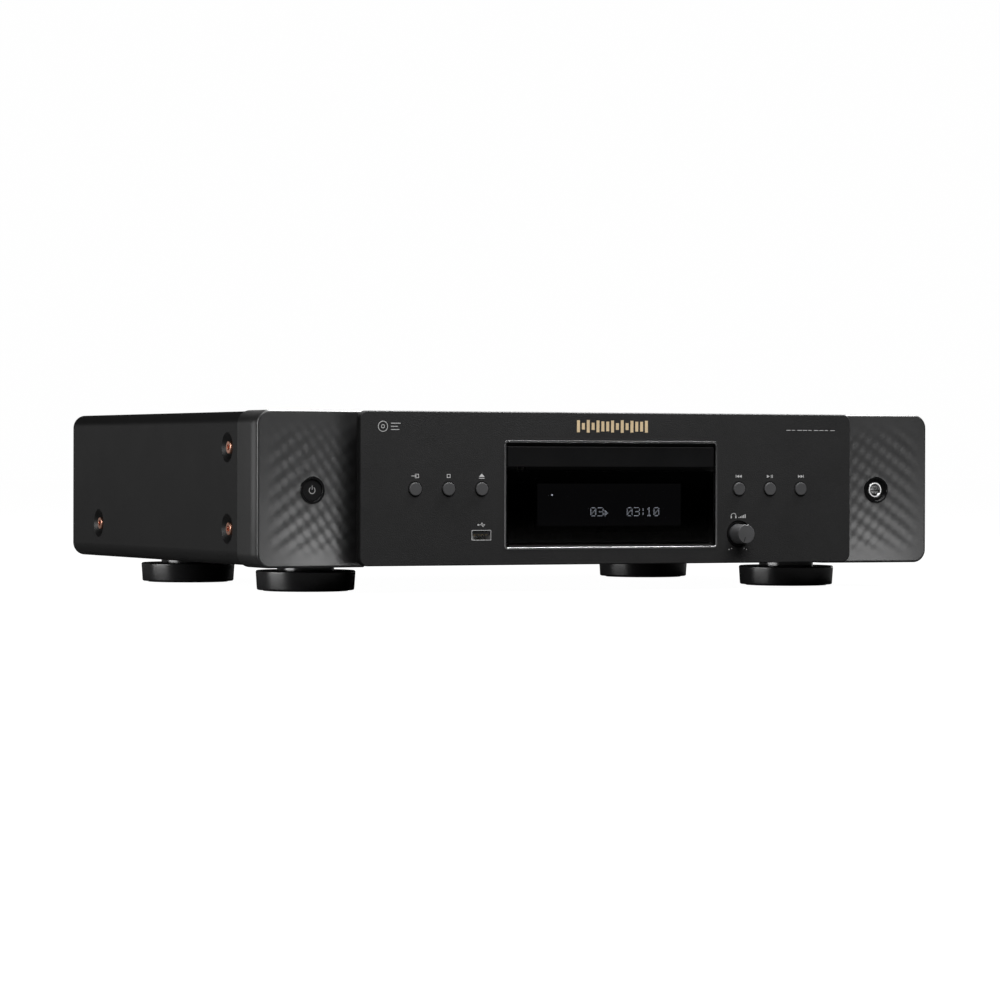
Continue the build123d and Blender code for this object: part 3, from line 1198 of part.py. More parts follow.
def optical_block(grow, y0, y1):
    """The square form of the optical outlet, beside the coaxial one."""
    x = phono_columns()[2] - PHONO_PITCH
    return block(x - 5 - grow, x + 5 + grow, y0, y1, LINE_SOCKET_ROW - 5 - grow, LINE_SOCKET_ROW + 5 + grow)


def digital_sockets():
    coaxial = phono_columns()[2]
    row = LINE_SOCKET_ROW
    low = CIRCUIT + BOARD_THICK
    body = block(coaxial - PHONO_PITCH - 7, coaxial + 8, REAR_INSIDE - 12, REAR_INSIDE, row - 8, row + 8)
    body += block(coaxial - PHONO_PITCH - 7, coaxial + 8, REAR_INSIDE - 12, REAR_INSIDE - 8, low, row)
    body += phono(coaxial) + optical_block(0, REAR_INSIDE - 1, CASE_DEPTH + 1)
    x = coaxial - PHONO_PITCH
    return body - block(x - 2.6, x + 2.6, CASE_DEPTH - 8, CASE_DEPTH + 2, row - 2.6, row + 2.6)


def remote_sockets():
    first, second = remote_columns()
    row = LINE_SOCKET_ROW
    body = block(second - 5, first + 5, REAR_INSIDE - 13, REAR_INSIDE, row - 5, row + 5)
    for x in (first, second):
        body += rod_y(x, row, REMOTE_BORE + 1.5, REAR_INSIDE - 1, CASE_DEPTH + 1)
        body -= rod_y(x, row, REMOTE_BORE, CASE_DEPTH + 1 - REMOTE_DEPTH, CASE_DEPTH + 2)
    return body


def inlet_block(grow, y0, y1):
    """The mains inlet's cavity, made larger by grow."""
    x = INLET_INSET - HALF
    return rounded(x - INLET_WIDTH / 2 - grow, x + INLET_WIDTH / 2 + grow,
                   INLET_ROW - INLET_HEIGHT / 2 - grow, INLET_ROW + INLET_HEIGHT / 2 + grow, 1.5, y0, y1)


def mains_inlet():
    """A flanged appliance inlet with an empty cavity for the connector."""
    mouth = REAR_FACE + INLET_PROUD
    body = inlet_block(INLET_WALL, mouth - INLET_DEPTH - 3, mouth)
    body += inlet_block(INLET_WALL + INLET_FLANGE, REAR_FACE, mouth)
    return body - inlet_block(0, mouth - INLET_DEPTH, mouth + 1)


# ---------------------------------------------------------------- the set of nodes
os.makedirs("parts", exist_ok=True)

save("front_plate", front_plate())
save("left_wing", left_wing())
save("right_wing", right_wing())
save("window_trim", window_trim())
save("display_window", display_window())
save("display_panel", display_panel())
save("front_frame", front_frame())
save("switch_boards", *switch_boards())
save("power_ring", power_ring())
save("power_button", power_button())
save("headphone_ring", headphone_ring())
save("headphone_jack", headphone_jack())
save("usb_socket", usb_socket())
save("level_knob", level_knob())
save("level_control", level_control())
for name, x in BUTTONS.items():
    save(name, button(x))

save("top_cover", top_cover())
save("bottom_chassis", bottom_chassis())
save("rear_panel", rear_panel())
save("cover_screws", *cover_screws())
save("chassis_screws", *chassis_screws())
for name, (x, y) in FEET.items():
    save(name, foot(x, y))
save("foot_pads", *foot_pads())
save("foot_screws", *foot_screws())

save("tray", tray())
save("tray_door", tray_door())
save("loader_frame", loader_frame())
save("clamp_bridge", clamp_bridge())
save("clamper", clamper())
save("drive_gear", drive_gear())
save("belt_gear", belt_gear())
save("motor_pulley", motor_pulley())
save("loading_motor", loading_motor())
save("drive_belt", drive_belt())

save("traverse_base", traverse_base())
save("guide_rods", *guide_rods())
save("spindle_motor", spindle_motor())
save("sled_motor", sled_motor())
save("lead_screw", lead_screw())
save("turntable", turntable())
save("pickup", pickup())
save("pickup_lens", pickup_lens())

save("power_board", power_board())
save("capacitors", *capacitors())
save("heatsink", heatsink())
save("audio_board", audio_board())
save("transformer_core", transformer_core())
save("transformer_coil", transformer_coil())
save("line_sockets", line_sockets())
save("digital_sockets", digital_sockets())
save("remote_sockets", remote_sockets())
save("mains_inlet", mains_inlet())
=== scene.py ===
# A full-width compact disc player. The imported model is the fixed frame. This file adds the two
# moulded cheeks with their waffle relief, the display's lit dots, the printed marks, the small
# contacts in the sockets, and every finish.
import json
import math

import bmesh
import bpy
from bpy.props import FloatProperty, FloatVectorProperty, PointerProperty, StringProperty
from mathutils import Matrix, Vector


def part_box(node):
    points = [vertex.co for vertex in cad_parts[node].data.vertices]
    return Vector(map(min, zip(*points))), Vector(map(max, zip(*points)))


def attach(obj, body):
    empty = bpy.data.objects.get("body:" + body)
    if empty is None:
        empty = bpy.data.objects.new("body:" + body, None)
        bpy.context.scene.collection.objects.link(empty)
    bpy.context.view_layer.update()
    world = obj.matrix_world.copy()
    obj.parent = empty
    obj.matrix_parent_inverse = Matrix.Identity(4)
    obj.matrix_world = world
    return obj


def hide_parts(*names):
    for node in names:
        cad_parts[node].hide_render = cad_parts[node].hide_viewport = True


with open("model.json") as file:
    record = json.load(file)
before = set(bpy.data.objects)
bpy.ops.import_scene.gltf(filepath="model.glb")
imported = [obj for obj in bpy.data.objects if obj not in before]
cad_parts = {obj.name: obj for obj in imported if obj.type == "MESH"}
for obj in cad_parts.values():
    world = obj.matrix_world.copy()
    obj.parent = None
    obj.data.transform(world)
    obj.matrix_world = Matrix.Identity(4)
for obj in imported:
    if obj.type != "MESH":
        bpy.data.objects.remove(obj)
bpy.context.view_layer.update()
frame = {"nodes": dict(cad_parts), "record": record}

bl_info = {
    "name": "Compact Disc Player",
    "version": (1, 0, 0),
    "blender": (4, 5, 0),
    "location": "3D View > Sidebar > Disc Player",
    "description": "Cheeks, display, printed marks and finishes of a full-width compact disc player",
    "category": "Object",
}

MM = 0.001
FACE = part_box("front_plate")[0].y       # the front plate's face
BUTTONS = ("input_button", "stop_button", "open_button", "previous_button", "play_button", "next_button")
FEET = ("foot_front_left", "foot_front_right", "foot_rear_left", "foot_rear_right")
CHEEKS = ("left_cheek", "right_cheek")
BUTTON_GAP_SHADE = 4.5 * MM                  # radius of the painted shade round a button: the plate is painted near-black there to stand for the shaded gap
KNOB_WELL_SHADE = 8.15 * MM                   # radius of the painted shade round the knob: the plate is painted near-black there to stand for the shaded well
CAP_SHY = 0.6 * MM                      # the power button's face lies this far behind the cheek's
SCREEN_GLOW_HALF = (47.4 * MM, 12.4 * MM)    # half of the middle of the screen that is given a faint painted glow
PHONO_INSERT = 3.2 * MM                 # radius of the coloured ring in a phono socket
SHUTTER_REACH = 8.2 * MM                # radius about the optical outlet that is black plastic


# ------------------------------------------------------------------ user settings
def length(name, value, text):
    """A size that is given in millimetres and kept in metres."""
    return FloatProperty(name=name, description=text, default=value * MM, unit="LENGTH", precision=5)


def angle(name, value, text):
    """An angle that is given in degrees and kept in radians."""
    return FloatProperty(name=name, description=text, default=math.radians(value), unit="ROTATION")


def colour(name, value, text):
    """A linear colour."""
    return FloatVectorProperty(name=name, description=text, default=value, subtype="COLOR",
                               size=3, min=0.0, max=1.0)


def amount(name, value, text):
    """A plain number that isn't negative."""
    return FloatProperty(name=name, description=text, default=value, min=0.0)


class CheekSettings(bpy.types.PropertyGroup):
    sweep: length("Sweep", 400, "Radius of the cheek's front face, seen from above")
    corner: length("Corner", 8, "Radius of the outer corners, seen from the front")
    edge: length("Edge", 1.5, "Rounding between the front face and the sides")
    wall: length("Wall", 1.2, "Thickness of the moulding")
    cell: length("Cell", 0.45, "Spacing of the mesh lines on the front face")
    rim: length("Rim", 3, "Plain border round the relief")
    rib_step: length("Rib step", 5.5, "Distance between the steep ribs")
    swell_step: length("Swell step", 8.0, "Distance between the broad swells that cross the ribs")
    slant: angle("Slant", 35.5, "Tilt of the ribs' direction from the horizontal")
    rib_depth: length("Rib depth", 0.06, "Height of the steep ribs, from the middle")
    swell_depth: length("Swell depth", 0.1, "Height of the broad swells, from the middle")
    fade_side: length("Side fade", 14, "Width over which the relief dies out at the outer side")
    fade_top: length("Top fade", 16, "Width over which the relief dies out at the top")
    fade_low: length("Bottom fade", 13, "Width over which the relief dies out at the bottom")
    power_hole: length("Power hole", 7.75, "Radius of the hole round the power button's ring")
    jack_hole: length("Headphone hole", 7.85, "Radius of the hole round the headphone socket's ring")


class MarkSettings(bpy.types.PropertyGroup):
    thickness: length("Thickness", 0.03, "How far the print stands on the surface")
    stroke: length("Stroke", 0.34, "Width of the printed lines")
    above: length("Above", 7.5, "Middle of a button to the middle of its mark")
    ink: colour("Ink", (0.6, 0.6, 0.6), "Grey print")
    gold: colour("Gold", (0.95, 0.74, 0.46), "Ornament over the tray")
    ornament_width: length("Ornament width", 48, "Width of the gold ornament")
    ornament_height: length("Ornament height", 7.4, "Height of the gold ornament")


class DisplaySettings(bpy.types.PropertyGroup):
    track: StringProperty(name="Track", description="Left group of digits", default="03")
    time: StringProperty(name="Time", description="Right group of digits", default="03:10")
    dot: length("Dot", 0.34, "Side of one lit dot")
    pitch_across: length("Pitch across", 0.81, "Distance between the columns of dots")
    pitch_up: length("Pitch up", 0.79, "Distance between the rows of dots")
    light: colour("Light", (0.9, 0.96, 1.0), "Colour of the lit dots")
    glow: amount("Glow", 12.0, "Strength of the lit dots, behind the smoked window")


class FinishSettings(bpy.types.PropertyGroup):
    plate: colour("Plate", (0.0125, 0.0125, 0.0128), "Fine-grained front plate")
    cheek: colour("Cheek", (0.009, 0.009, 0.0093), "Moulded cheeks")
    cover: colour("Cover", (0.005, 0.005, 0.0052), "Painted steel cover")
    button: colour("Button", (0.067, 0.067, 0.069), "Small buttons and knob")
    copper: colour("Copper", (0.86, 0.44, 0.31), "Screws in the side dishes")
    silver: colour("Silver", (0.78, 0.78, 0.79), "Trim round the tray and window")
    foot: colour("Foot", (0.01, 0.01, 0.0105), "Moulded feet")


class StageSettings(bpy.types.PropertyGroup):
    camera_side: length("Camera side", -1060.6, "Camera's place to the right of the middle")
    camera_ahead: length("Camera ahead", 2075.1, "Camera's place ahead of the plate's face")
    camera_height: length("Camera height", 75.86, "Camera's height over the floor")
    yaw: angle("Yaw", 25.449, "Turn to the right of straight ahead")
    pitch: angle("Pitch", -0.547, "Tilt above the horizon")
    roll: angle("Roll", 0.16, "Turn about the line of sight")
    lens: amount("Lens", 142.72, "Focal length in millimetres, on a 36 mm sensor")
    floor: colour("Floor", (0.15, 0.15, 0.15), "Pale floor")


# ------------------------------------------------------------------ meshes
def to_piece(name, bm, body, material, sharp=35):
    """Turns a bmesh into a piece of the object, smooth except at its sharp edges."""
    mesh = bpy.data.meshes.new(name)
    bm.normal_update()
    bm.to_mesh(mesh)
    bm.free()
    mesh.shade_smooth()
    mesh.set_sharp_from_angle(angle=math.radians(sharp))
    mesh.materials.append(material)
    obj = bpy.data.objects.new(name, mesh)
    bpy.context.scene.collection.objects.link(obj)
    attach(obj, body)
    return obj


def block(bm, low, high, bevel=0.0):
    """A box between two corners, with its edges bevelled if asked."""
    low, high = Vector(low), Vector(high)
    made = bmesh.ops.create_cube(bm, size=1.0)
    size = high - low
    bmesh.ops.scale(bm, vec=size, verts=made["verts"])
    bmesh.ops.translate(bm, vec=(low + high) / 2, verts=made["verts"])
    if bevel:
        edges = list({edge for vert in made["verts"] for edge in vert.link_edges})
        bmesh.ops.bevel(bm, geom=edges, offset=bevel, affect="EDGES", segments=2, profile=0.5, material=-1)


def hoop(bm, centre, radii, depths, start=0.0, sweep=math.tau, steps=32):
    """A flat ring, or a part of one, about an axis along Y. Angles run from the top towards +X."""
    centre = Vector(centre)
    corners = [(radii[0], depths[0]), (radii[1], depths[0]), (radii[1], depths[1]), (radii[0], depths[1])]
    turn = Matrix.Rotation(start, 3, "Y")
    verts = [bm.verts.new(centre + turn @ Vector((0, depth, radius))) for radius, depth in corners]
    edges = [bm.edges.new((verts[i], verts[(i + 1) % 4])) for i in range(4)]
    whole = abs(sweep - math.tau) < 1e-6
    geom = verts + edges
    if not whole:
        geom.append(bm.faces.new(verts))
    bmesh.ops.spin(bm, geom=geom, cent=centre, axis=(0, 1, 0), angle=sweep, steps=steps, use_merge=whole)
    bmesh.ops.recalc_face_normals(bm, faces=bm.faces[:])


def middle_of(node):
    """The middle of a CAD node's box."""
    low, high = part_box(node)
    return (low + high) / 2


def slab(bm, outline, depths):
    """A flat piece with a straight-sided outline of (x, z) points, between two depths."""
    face = bm.faces.new([bm.verts.new((x, depths[0], z)) for x, z in outline])
    made = bmesh.ops.extrude_face_region(bm, geom=[face])
    moved = [item for item in made["geom"] if isinstance(item, bmesh.types.BMVert)]
    bmesh.ops.translate(bm, vec=(0, depths[1] - depths[0], 0), verts=moved)
    bmesh.ops.recalc_face_normals(bm, faces=bm.faces[:])


def bar(bm, low, high, depths):
    """A flat rectangle between two (x, z) corners."""
    slab(bm, [low, (high[0], low[1]), high, (low[0], high[1])], depths)


def stations(span, edge, cell, far_edge):
    """Places of the mesh lines along one side, close together over each rounded edge."""
    steps = 6
    near = [edge * (1 - math.cos(math.pi / 2 * i / steps)) for i in range(steps)]
    far = [span - place for place in reversed(near)] if far_edge else []
    end = span - edge if far_edge else span
    count = round((end - edge) / cell)
    return near + [edge + (end - edge) * i / count for i in range(count + 1)] + far


def soft_step(value, width):
    """0 at the start and 1 after width, with no kink."""
    share = min(max(value / width, 0.0), 1.0)
    return share * share * (3 - 2 * share)


def sweep_depth(reach, sweep):
    """How far the cheek's face lies behind its outer edge, at reach from that edge."""
    return sweep - math.sqrt(sweep ** 2 - reach ** 2)


def relief(cheek, reach, low, high):
    """Height of the waffle at a place: ribs and broad swells that cross, fading at the borders."""
    across = reach * math.cos(cheek.slant) + low * math.sin(cheek.slant)
    along = low * math.cos(cheek.slant) - reach * math.sin(cheek.slant)
    wave = cheek.rib_depth * math.cos(math.tau * across / cheek.rib_step)
    wave += cheek.swell_depth * math.cos(math.tau * along / cheek.swell_step)
    fade = soft_step(reach - cheek.rim, cheek.fade_side) * soft_step(low - cheek.rim, cheek.fade_low)
    return wave * fade * soft_step(high - cheek.rim, cheek.fade_top)


def cheek_shell(node, control, hole, cheek):
    """The cheek's front face as a fine grid with its relief, a round hole, and sides to the rear."""
    low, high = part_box(node)
    left = node.startswith("left")
    width, height = high.x - low.x, high.z - low.z
    across = stations(width, cheek.edge, cheek.cell, False)
    up = stations(height, cheek.edge, cheek.cell, True)
    middle = middle_of(control)
    bm = bmesh.new()
    bmesh.ops.create_grid(bm, x_segments=len(across) - 1, y_segments=len(up) - 1, size=1.0)

    def place(reach, rise):
        nearest = min(rise, height - rise)
        drop = 0.0
        if reach < cheek.corner and nearest < cheek.corner:
            margin = cheek.corner - math.hypot(cheek.corner - reach, cheek.corner - nearest)
        else:
            margin = min(reach, nearest)
        if margin < cheek.edge:
            drop = cheek.edge - math.sqrt(max(cheek.edge ** 2 - (cheek.edge - margin) ** 2, 0.0))
        depth = sweep_depth(reach, cheek.sweep) + drop - relief(cheek, reach, rise, height - rise)
        return Vector((low.x + reach if left else high.x - reach, low.y + depth, low.z + rise))

    for vert in bm.verts:
        column = across[round((vert.co.x + 1) / 2 * (len(across) - 1))]
        rise = up[round((vert.co.y + 1) / 2 * (len(up) - 1))]
        nearest = min(rise, height - rise)
        inset = 0.0
        if nearest < cheek.corner:
            inset = cheek.corner - math.sqrt(cheek.corner ** 2 - (cheek.corner - nearest) ** 2)
        vert.co = place(inset + column * (width - inset) / width, rise)
    if not left:
        bmesh.ops.reverse_faces(bm, faces=bm.faces[:])

    inner = high.x if left else low.x
    outline = [edge for edge in bm.edges if edge.is_boundary
               and any(abs(vert.co.x - inner) > MM / 10 for vert in edge.verts)]
    made = bmesh.ops.extrude_edge_only(bm, edges=outline)
    for item in made["geom"]:
        if isinstance(item, bmesh.types.BMVert):
            item.co.y = high.y

    inside = [face for face in bm.faces if face.calc_center_median().y < high.y - 10 * MM
              and (face.calc_center_median() - middle).xz.length < hole]
    bmesh.ops.delete(bm, geom=inside, context="FACES")
    for vert in bm.verts:
        offset = (vert.co - middle).xz
        if vert.is_boundary and offset.length < hole + 2 * cheek.cell:
            offset = offset.normalized() * hole
            x = middle.x + offset.x
            vert.co = place(x - low.x if left else high.x - x, middle.z + offset.y - low.z)
    return bm


# ------------------------------------------------------------------ effects shared by the finishes
def new_group(name, inputs, outputs):
    """A shader node group with named sockets, and its inlet and outlet nodes."""
    group = bpy.data.node_groups.new(name, "ShaderNodeTree")
    for label, kind, value in inputs:
        socket = group.interface.new_socket(label, in_out="INPUT", socket_type=kind)
        socket.default_value = value
    for label, kind in outputs:
        group.interface.new_socket(label, in_out="OUTPUT", socket_type=kind)
    return group, group.nodes.new("NodeGroupInput"), group.nodes.new("NodeGroupOutput")


def maths(tree, operation, *values):
    """A Math node whose inputs are numbers or sockets. Gives its result."""
    node = tree.nodes.new("ShaderNodeMath")
    node.operation = operation
    for socket, value in zip(node.inputs, values):
        if isinstance(value, (int, float)):
            socket.default_value = value
        else:
            tree.links.new(value, socket)
    return node.outputs[0]


def noise_group():
    """Fine, even grain: a height from 0 to 1 whose spots have the given size."""
    group, inlet, outlet = new_group(
        "grain", [("Size", "NodeSocketFloat", 0.0005), ("Detail", "NodeSocketFloat", 2.0)],
        [("Height", "NodeSocketFloat")])
    place = group.nodes.new("ShaderNodeTexCoord")
    noise = group.nodes.new("ShaderNodeTexNoise")
    group.links.new(place.outputs["Object"], noise.inputs["Vector"])
    group.links.new(maths(group, "DIVIDE", 1.0, inlet.outputs["Size"]), noise.inputs["Scale"])
    group.links.new(inlet.outputs["Detail"], noise.inputs["Detail"])
    group.links.new(noise.outputs["Fac"], outlet.inputs["Height"])
    return group


def brush_group():
    """Long fine scratches along one direction, for drawn or brushed metal."""
    group, inlet, outlet = new_group(
        "brushing", [("Stretch", "NodeSocketVector", (60.0, 4000.0, 4000.0))],
        [("Height", "NodeSocketFloat")])
    place = group.nodes.new("ShaderNodeTexCoord")
    scale = group.nodes.new("ShaderNodeVectorMath")
    scale.operation = "MULTIPLY"
    noise = group.nodes.new("ShaderNodeTexNoise")
    noise.inputs["Scale"].default_value = 1.0
    noise.inputs["Detail"].default_value = 3.0
    group.links.new(place.outputs["Object"], scale.inputs[0])
    group.links.new(inlet.outputs["Stretch"], scale.inputs[1])
    group.links.new(scale.outputs[0], noise.inputs["Vector"])
    group.links.new(noise.outputs["Fac"], outlet.inputs["Height"])
    return group


def cloud_group():
    """A slow, uneven value between two limits, as on any handled or moulded surface."""
    group, inlet, outlet = new_group(
        "cloud",
        [("Size", "NodeSocketFloat", 0.03), ("Low", "NodeSocketFloat", 0.4),
         ("High", "NodeSocketFloat", 0.5)],
        [("Value", "NodeSocketFloat")])
    place = group.nodes.new("ShaderNodeTexCoord")
    noise = group.nodes.new("ShaderNodeTexNoise")
    noise.inputs["Detail"].default_value = 5.0
    noise.inputs["Roughness"].default_value = 0.6
    spread = group.nodes.new("ShaderNodeMapRange")
    spread.inputs["From Min"].default_value = 0.32
    spread.inputs["From Max"].default_value = 0.68
    group.links.new(place.outputs["Object"], noise.inputs["Vector"])
    group.links.new(maths(group, "DIVIDE", 1.0, inlet.outputs["Size"]), noise.inputs["Scale"])
    group.links.new(noise.outputs["Fac"], spread.inputs["Value"])
    group.links.new(inlet.outputs["Low"], spread.inputs["To Min"])
    group.links.new(inlet.outputs["High"], spread.inputs["To Max"])
    group.links.new(spread.outputs["Result"], outlet.inputs["Value"])
    return group


def dust_group():
    """A thin veil of dust, thickest where a surface faces up, broken up by fine noise."""
    group, inlet, outlet = new_group(
        "dust", [("Colour", "NodeSocketColor", (0.05, 0.05, 0.05, 1)), ("Amount", "NodeSocketFloat", 0.1)],
        [("Colour", "NodeSocketColor"), ("Mask", "NodeSocketFloat")])
    facing = group.nodes.new("ShaderNodeNewGeometry")
    split = group.nodes.new("ShaderNodeSeparateXYZ")
    group.links.new(facing.outputs["Normal"], split.inputs[0])
    up = maths(group, "MAXIMUM", split.outputs["Z"], 0.12)
    specks = group.nodes.new("ShaderNodeGroup")
    specks.node_tree = bpy.data.node_groups["grain"]
    specks.inputs["Size"].default_value = 0.0009
    specks.inputs["Detail"].default_value = 6.0
    spots = maths(group, "POWER", specks.outputs["Height"], 3.0)
    mask = maths(group, "MULTIPLY", maths(group, "MULTIPLY", up, spots), inlet.outputs["Amount"])
    mix = group.nodes.new("ShaderNodeMix")
    mix.data_type = "RGBA"
    group.links.new(mask, mix.inputs["Factor"])
    group.links.new(inlet.outputs["Colour"], mix.inputs["A"])
    mix.inputs["B"].default_value = (0.45, 0.43, 0.4, 1)
    group.links.new(mix.outputs["Result"], outlet.inputs["Colour"])
    group.links.new(mask, outlet.inputs["Mask"])
    return group


def tint_group():
    """A colour whose brightness drifts by the given share."""
    group, inlet, outlet = new_group(
        "tint",
        [("Colour", "NodeSocketColor", (0.1, 0.1, 0.1, 1)), ("Amount", "NodeSocketFloat", 0.1),
         ("Size", "NodeSocketFloat", 0.02)],
        [("Colour", "NodeSocketColor")])
    drift = group.nodes.new("ShaderNodeGroup")
    drift.node_tree = bpy.data.node_groups["cloud"]
    group.links.new(inlet.outputs["Size"], drift.inputs["Size"])
    group.links.new(maths(group, "SUBTRACT", 1.0, inlet.outputs["Amount"]), drift.inputs["Low"])
    group.links.new(maths(group, "ADD", 1.0, inlet.outputs["Amount"]), drift.inputs["High"])
    scale = group.nodes.new("ShaderNodeVectorMath")
    scale.operation = "SCALE"
    group.links.new(inlet.outputs["Colour"], scale.inputs[0])
    group.links.new(drift.outputs["Value"], scale.inputs["Scale"])
    group.links.new(scale.outputs[0], outlet.inputs["Colour"])
    return group


def place_group(tree, name, **values):
    """An effect in a material, with its own values."""
    node = tree.nodes.new("ShaderNodeGroup")
    node.node_tree = bpy.data.node_groups[name]
    for label, value in values.items():
        socket = node.inputs[label]
        if isinstance(value, bpy.types.NodeSocket):
            tree.links.new(value, socket)
        else:
            socket.default_value = value
    return node


def finish(name, shade, roughness, metallic=0.0, specular=0.5, grain=(0.0005, 0.00001), brushed=None,
           tint=0.12, spread=0.05, dust=0.1, edge=0.0, coat=0.0):
    """A surface: drifting colour, dust, uneven gloss, and grain or brushing in its relief.

    grain is the size of its spots and their depth, brushed is the direction's scale and the
    scratches' depth, and edge is the rounding that catches the light along sharp corners.
    """
    material = bpy.data.materials.new(name)
    material.use_nodes = True
    tree = material.node_tree
    shader = tree.nodes["Principled BSDF"]
    shader.inputs["Metallic"].default_value = metallic
    shader.inputs["Specular IOR Level"].default_value = specular
    if coat:
        shader.inputs["Coat Weight"].default_value = coat
        shader.inputs["Coat Roughness"].default_value = 0.08
    drift = place_group(tree, "tint", Colour=(*shade, 1), Amount=tint, Size=0.02)
    veil = place_group(tree, "dust", Colour=drift.outputs["Colour"], Amount=dust)
    tree.links.new(veil.outputs["Colour"], shader.inputs["Base Color"])
    gloss = place_group(tree, "cloud", Size=0.035, Low=roughness - spread, High=roughness + spread)
    dull = maths(tree, "ADD", gloss.outputs["Value"], maths(tree, "MULTIPLY", veil.outputs["Mask"], 0.8))
    tree.links.new(dull, shader.inputs["Roughness"])
    bump = tree.nodes.new("ShaderNodeBump")
    bump.inputs["Strength"].default_value = 1.0
    if brushed:
        relief_node = place_group(tree, "brushing", Stretch=brushed[0])
        bump.inputs["Distance"].default_value = brushed[1]
    else:
        relief_node = place_group(tree, "grain", Size=grain[0], Detail=2.0)
        bump.inputs["Distance"].default_value = grain[1]
    tree.links.new(relief_node.outputs["Height"], bump.inputs["Height"])
    if edge:
        rounding = tree.nodes.new("ShaderNodeBevel")
        rounding.samples = 4
        rounding.inputs["Radius"].default_value = edge
        tree.links.new(rounding.outputs["Normal"], bump.inputs["Normal"])
    tree.links.new(bump.outputs["Normal"], shader.inputs["Normal"])
    return material


def dress(material, *nodes):
    """Gives CAD nodes a finish."""
    for node in nodes:
        for slot in frame["nodes"][node].material_slots:
            slot.material = material


def offset_from(tree, point):
    """How far a place on the surface lies from a point, along X and along Z."""
    place = tree.nodes.new("ShaderNodeTexCoord")
    split = tree.nodes.new("ShaderNodeSeparateXYZ")
    tree.links.new(place.outputs["Object"], split.inputs[0])
    return (maths(tree, "SUBTRACT", split.outputs["X"], point.x),
            maths(tree, "SUBTRACT", split.outputs["Z"], point.z))


def near_point(tree, point, radius):
    """1 within radius of an axis along Y through a point, and 0 outside it."""
    across, up = (maths(tree, "POWER", part, 2.0) for part in offset_from(tree, point))
    return maths(tree, "LESS_THAN", maths(tree, "SQRT", maths(tree, "ADD", across, up)), radius)


def inside_box(tree, point, half):
    """1 within a rectangle about an axis along Y through a point, and 0 outside it."""
    across, up = (maths(tree, "ABSOLUTE", part) for part in offset_from(tree, point))
    return maths(tree, "MULTIPLY", maths(tree, "LESS_THAN", across, half[0]),
                 maths(tree, "LESS_THAN", up, half[1]))


def near_line(tree, point, turn, reach):
    """1 on a stroke that runs down from an axis along Y through a point, turned to the left.

    reach is the stroke's half width and the distances of its ends from the axis.
    """
    across, up = offset_from(tree, point)
    down = maths(tree, "MULTIPLY", up, -1.0)
    run = maths(tree, "SUBTRACT", maths(tree, "MULTIPLY", down, math.cos(turn)),
                maths(tree, "MULTIPLY", across, math.sin(turn)))
    off = maths(tree, "ABSOLUTE", maths(tree, "ADD", maths(tree, "MULTIPLY", across, math.cos(turn)),
                                        maths(tree, "MULTIPLY", down, math.sin(turn))))
    inside = maths(tree, "MULTIPLY", maths(tree, "GREATER_THAN", run, reach[1]),
                   maths(tree, "LESS_THAN", run, reach[2]))
    return maths(tree, "MULTIPLY", inside, maths(tree, "LESS_THAN", off, reach[0]))


def paint_over(material, mask, shade):
    """Lays a second colour over a finish where mask is 1, and makes that part plain plastic."""
    tree = material.node_tree
    shader = tree.nodes["Principled BSDF"]
    for label, value, kind in (("Base Color", (*shade, 1), "RGBA"), ("Metallic", 0.0, "FLOAT")):
        socket = shader.inputs[label]
        mix = tree.nodes.new("ShaderNodeMix")
        mix.data_type = kind
        factor, first, second = [item for item in mix.inputs if item.enabled]
        if socket.is_linked:
            tree.links.new(socket.links[0].from_socket, first)
        else:
            first.default_value = socket.default_value
        second.default_value = value
        tree.links.new(mask, factor)
        result = next(item for item in mix.outputs if item.enabled)
        tree.links.new(result, socket)


# ------------------------------------------------------------------ operators
class PLAYER_OT_effects(bpy.types.Operator):
    """Builds the node groups that the finishes share"""
    bl_idname = "player.effects"
    bl_label = "Shared Effects"

    def execute(self, context):
        noise_group()
        brush_group()
        cloud_group()
        dust_group()
        tint_group()
        return {"FINISHED"}


class PLAYER_OT_case(bpy.types.Operator):
    """Finishes the front plate, cover, chassis, screws and feet"""
    bl_idname = "player.case"
    bl_label = "Case"

    def execute(self, context):
        shades = context.scene.player_finish
        plate = finish("front_plate_grain", shades.plate, 0.58, specular=0.22, grain=(0.0006, 0.0002),
                       tint=0.06, edge=0.0002)
        # Painted shade: the plate is painted near-black round each button and the knob, standing in for the
        # shade in their gaps and in the knob's well.
        for node in (*BUTTONS, "level_knob"):
            hole = KNOB_WELL_SHADE if node == "level_knob" else BUTTON_GAP_SHADE
            paint_over(plate, near_point(plate.node_tree, middle_of(node), hole), (0.001, 0.001, 0.001))
        dress(plate, "front_plate")
        dress(finish("cover_paint", shades.cover, 0.4, specular=0.35, grain=(0.0007, 0.000018),
                     spread=0.015, dust=0.04, edge=0.0003), "top_cover")
        dress(finish("rear_paint", shades.cover, 0.5, specular=0.3, grain=(0.0006, 0.00002)), "rear_panel")
        dress(finish("zinc_plate", (0.42, 0.42, 0.4), 0.35, metallic=1.0,
                     brushed=((40.0, 900.0, 900.0), 0.00002)), "bottom_chassis")
        dress(finish("copper_screw", shades.copper, 0.22, metallic=1.0, dust=0.04,
                     brushed=((4000.0, 300.0, 300.0), 0.000006), edge=0.0002), "cover_screws")
        dress(finish("steel_screw", (0.2, 0.2, 0.2), 0.35, metallic=1.0, edge=0.0002),
              "chassis_screws", "foot_screws")
        dress(finish("foot_moulding", shades.foot, 0.24, specular=0.55, grain=(0.0006, 0.000004),
                     spread=0.03, dust=0.01, edge=0.0003), *FEET)
        dress(finish("foot_rubber", (0.02, 0.02, 0.02), 0.8, specular=0.2, grain=(0.0008, 0.00006)),
              "foot_pads")
        return {"FINISHED"}


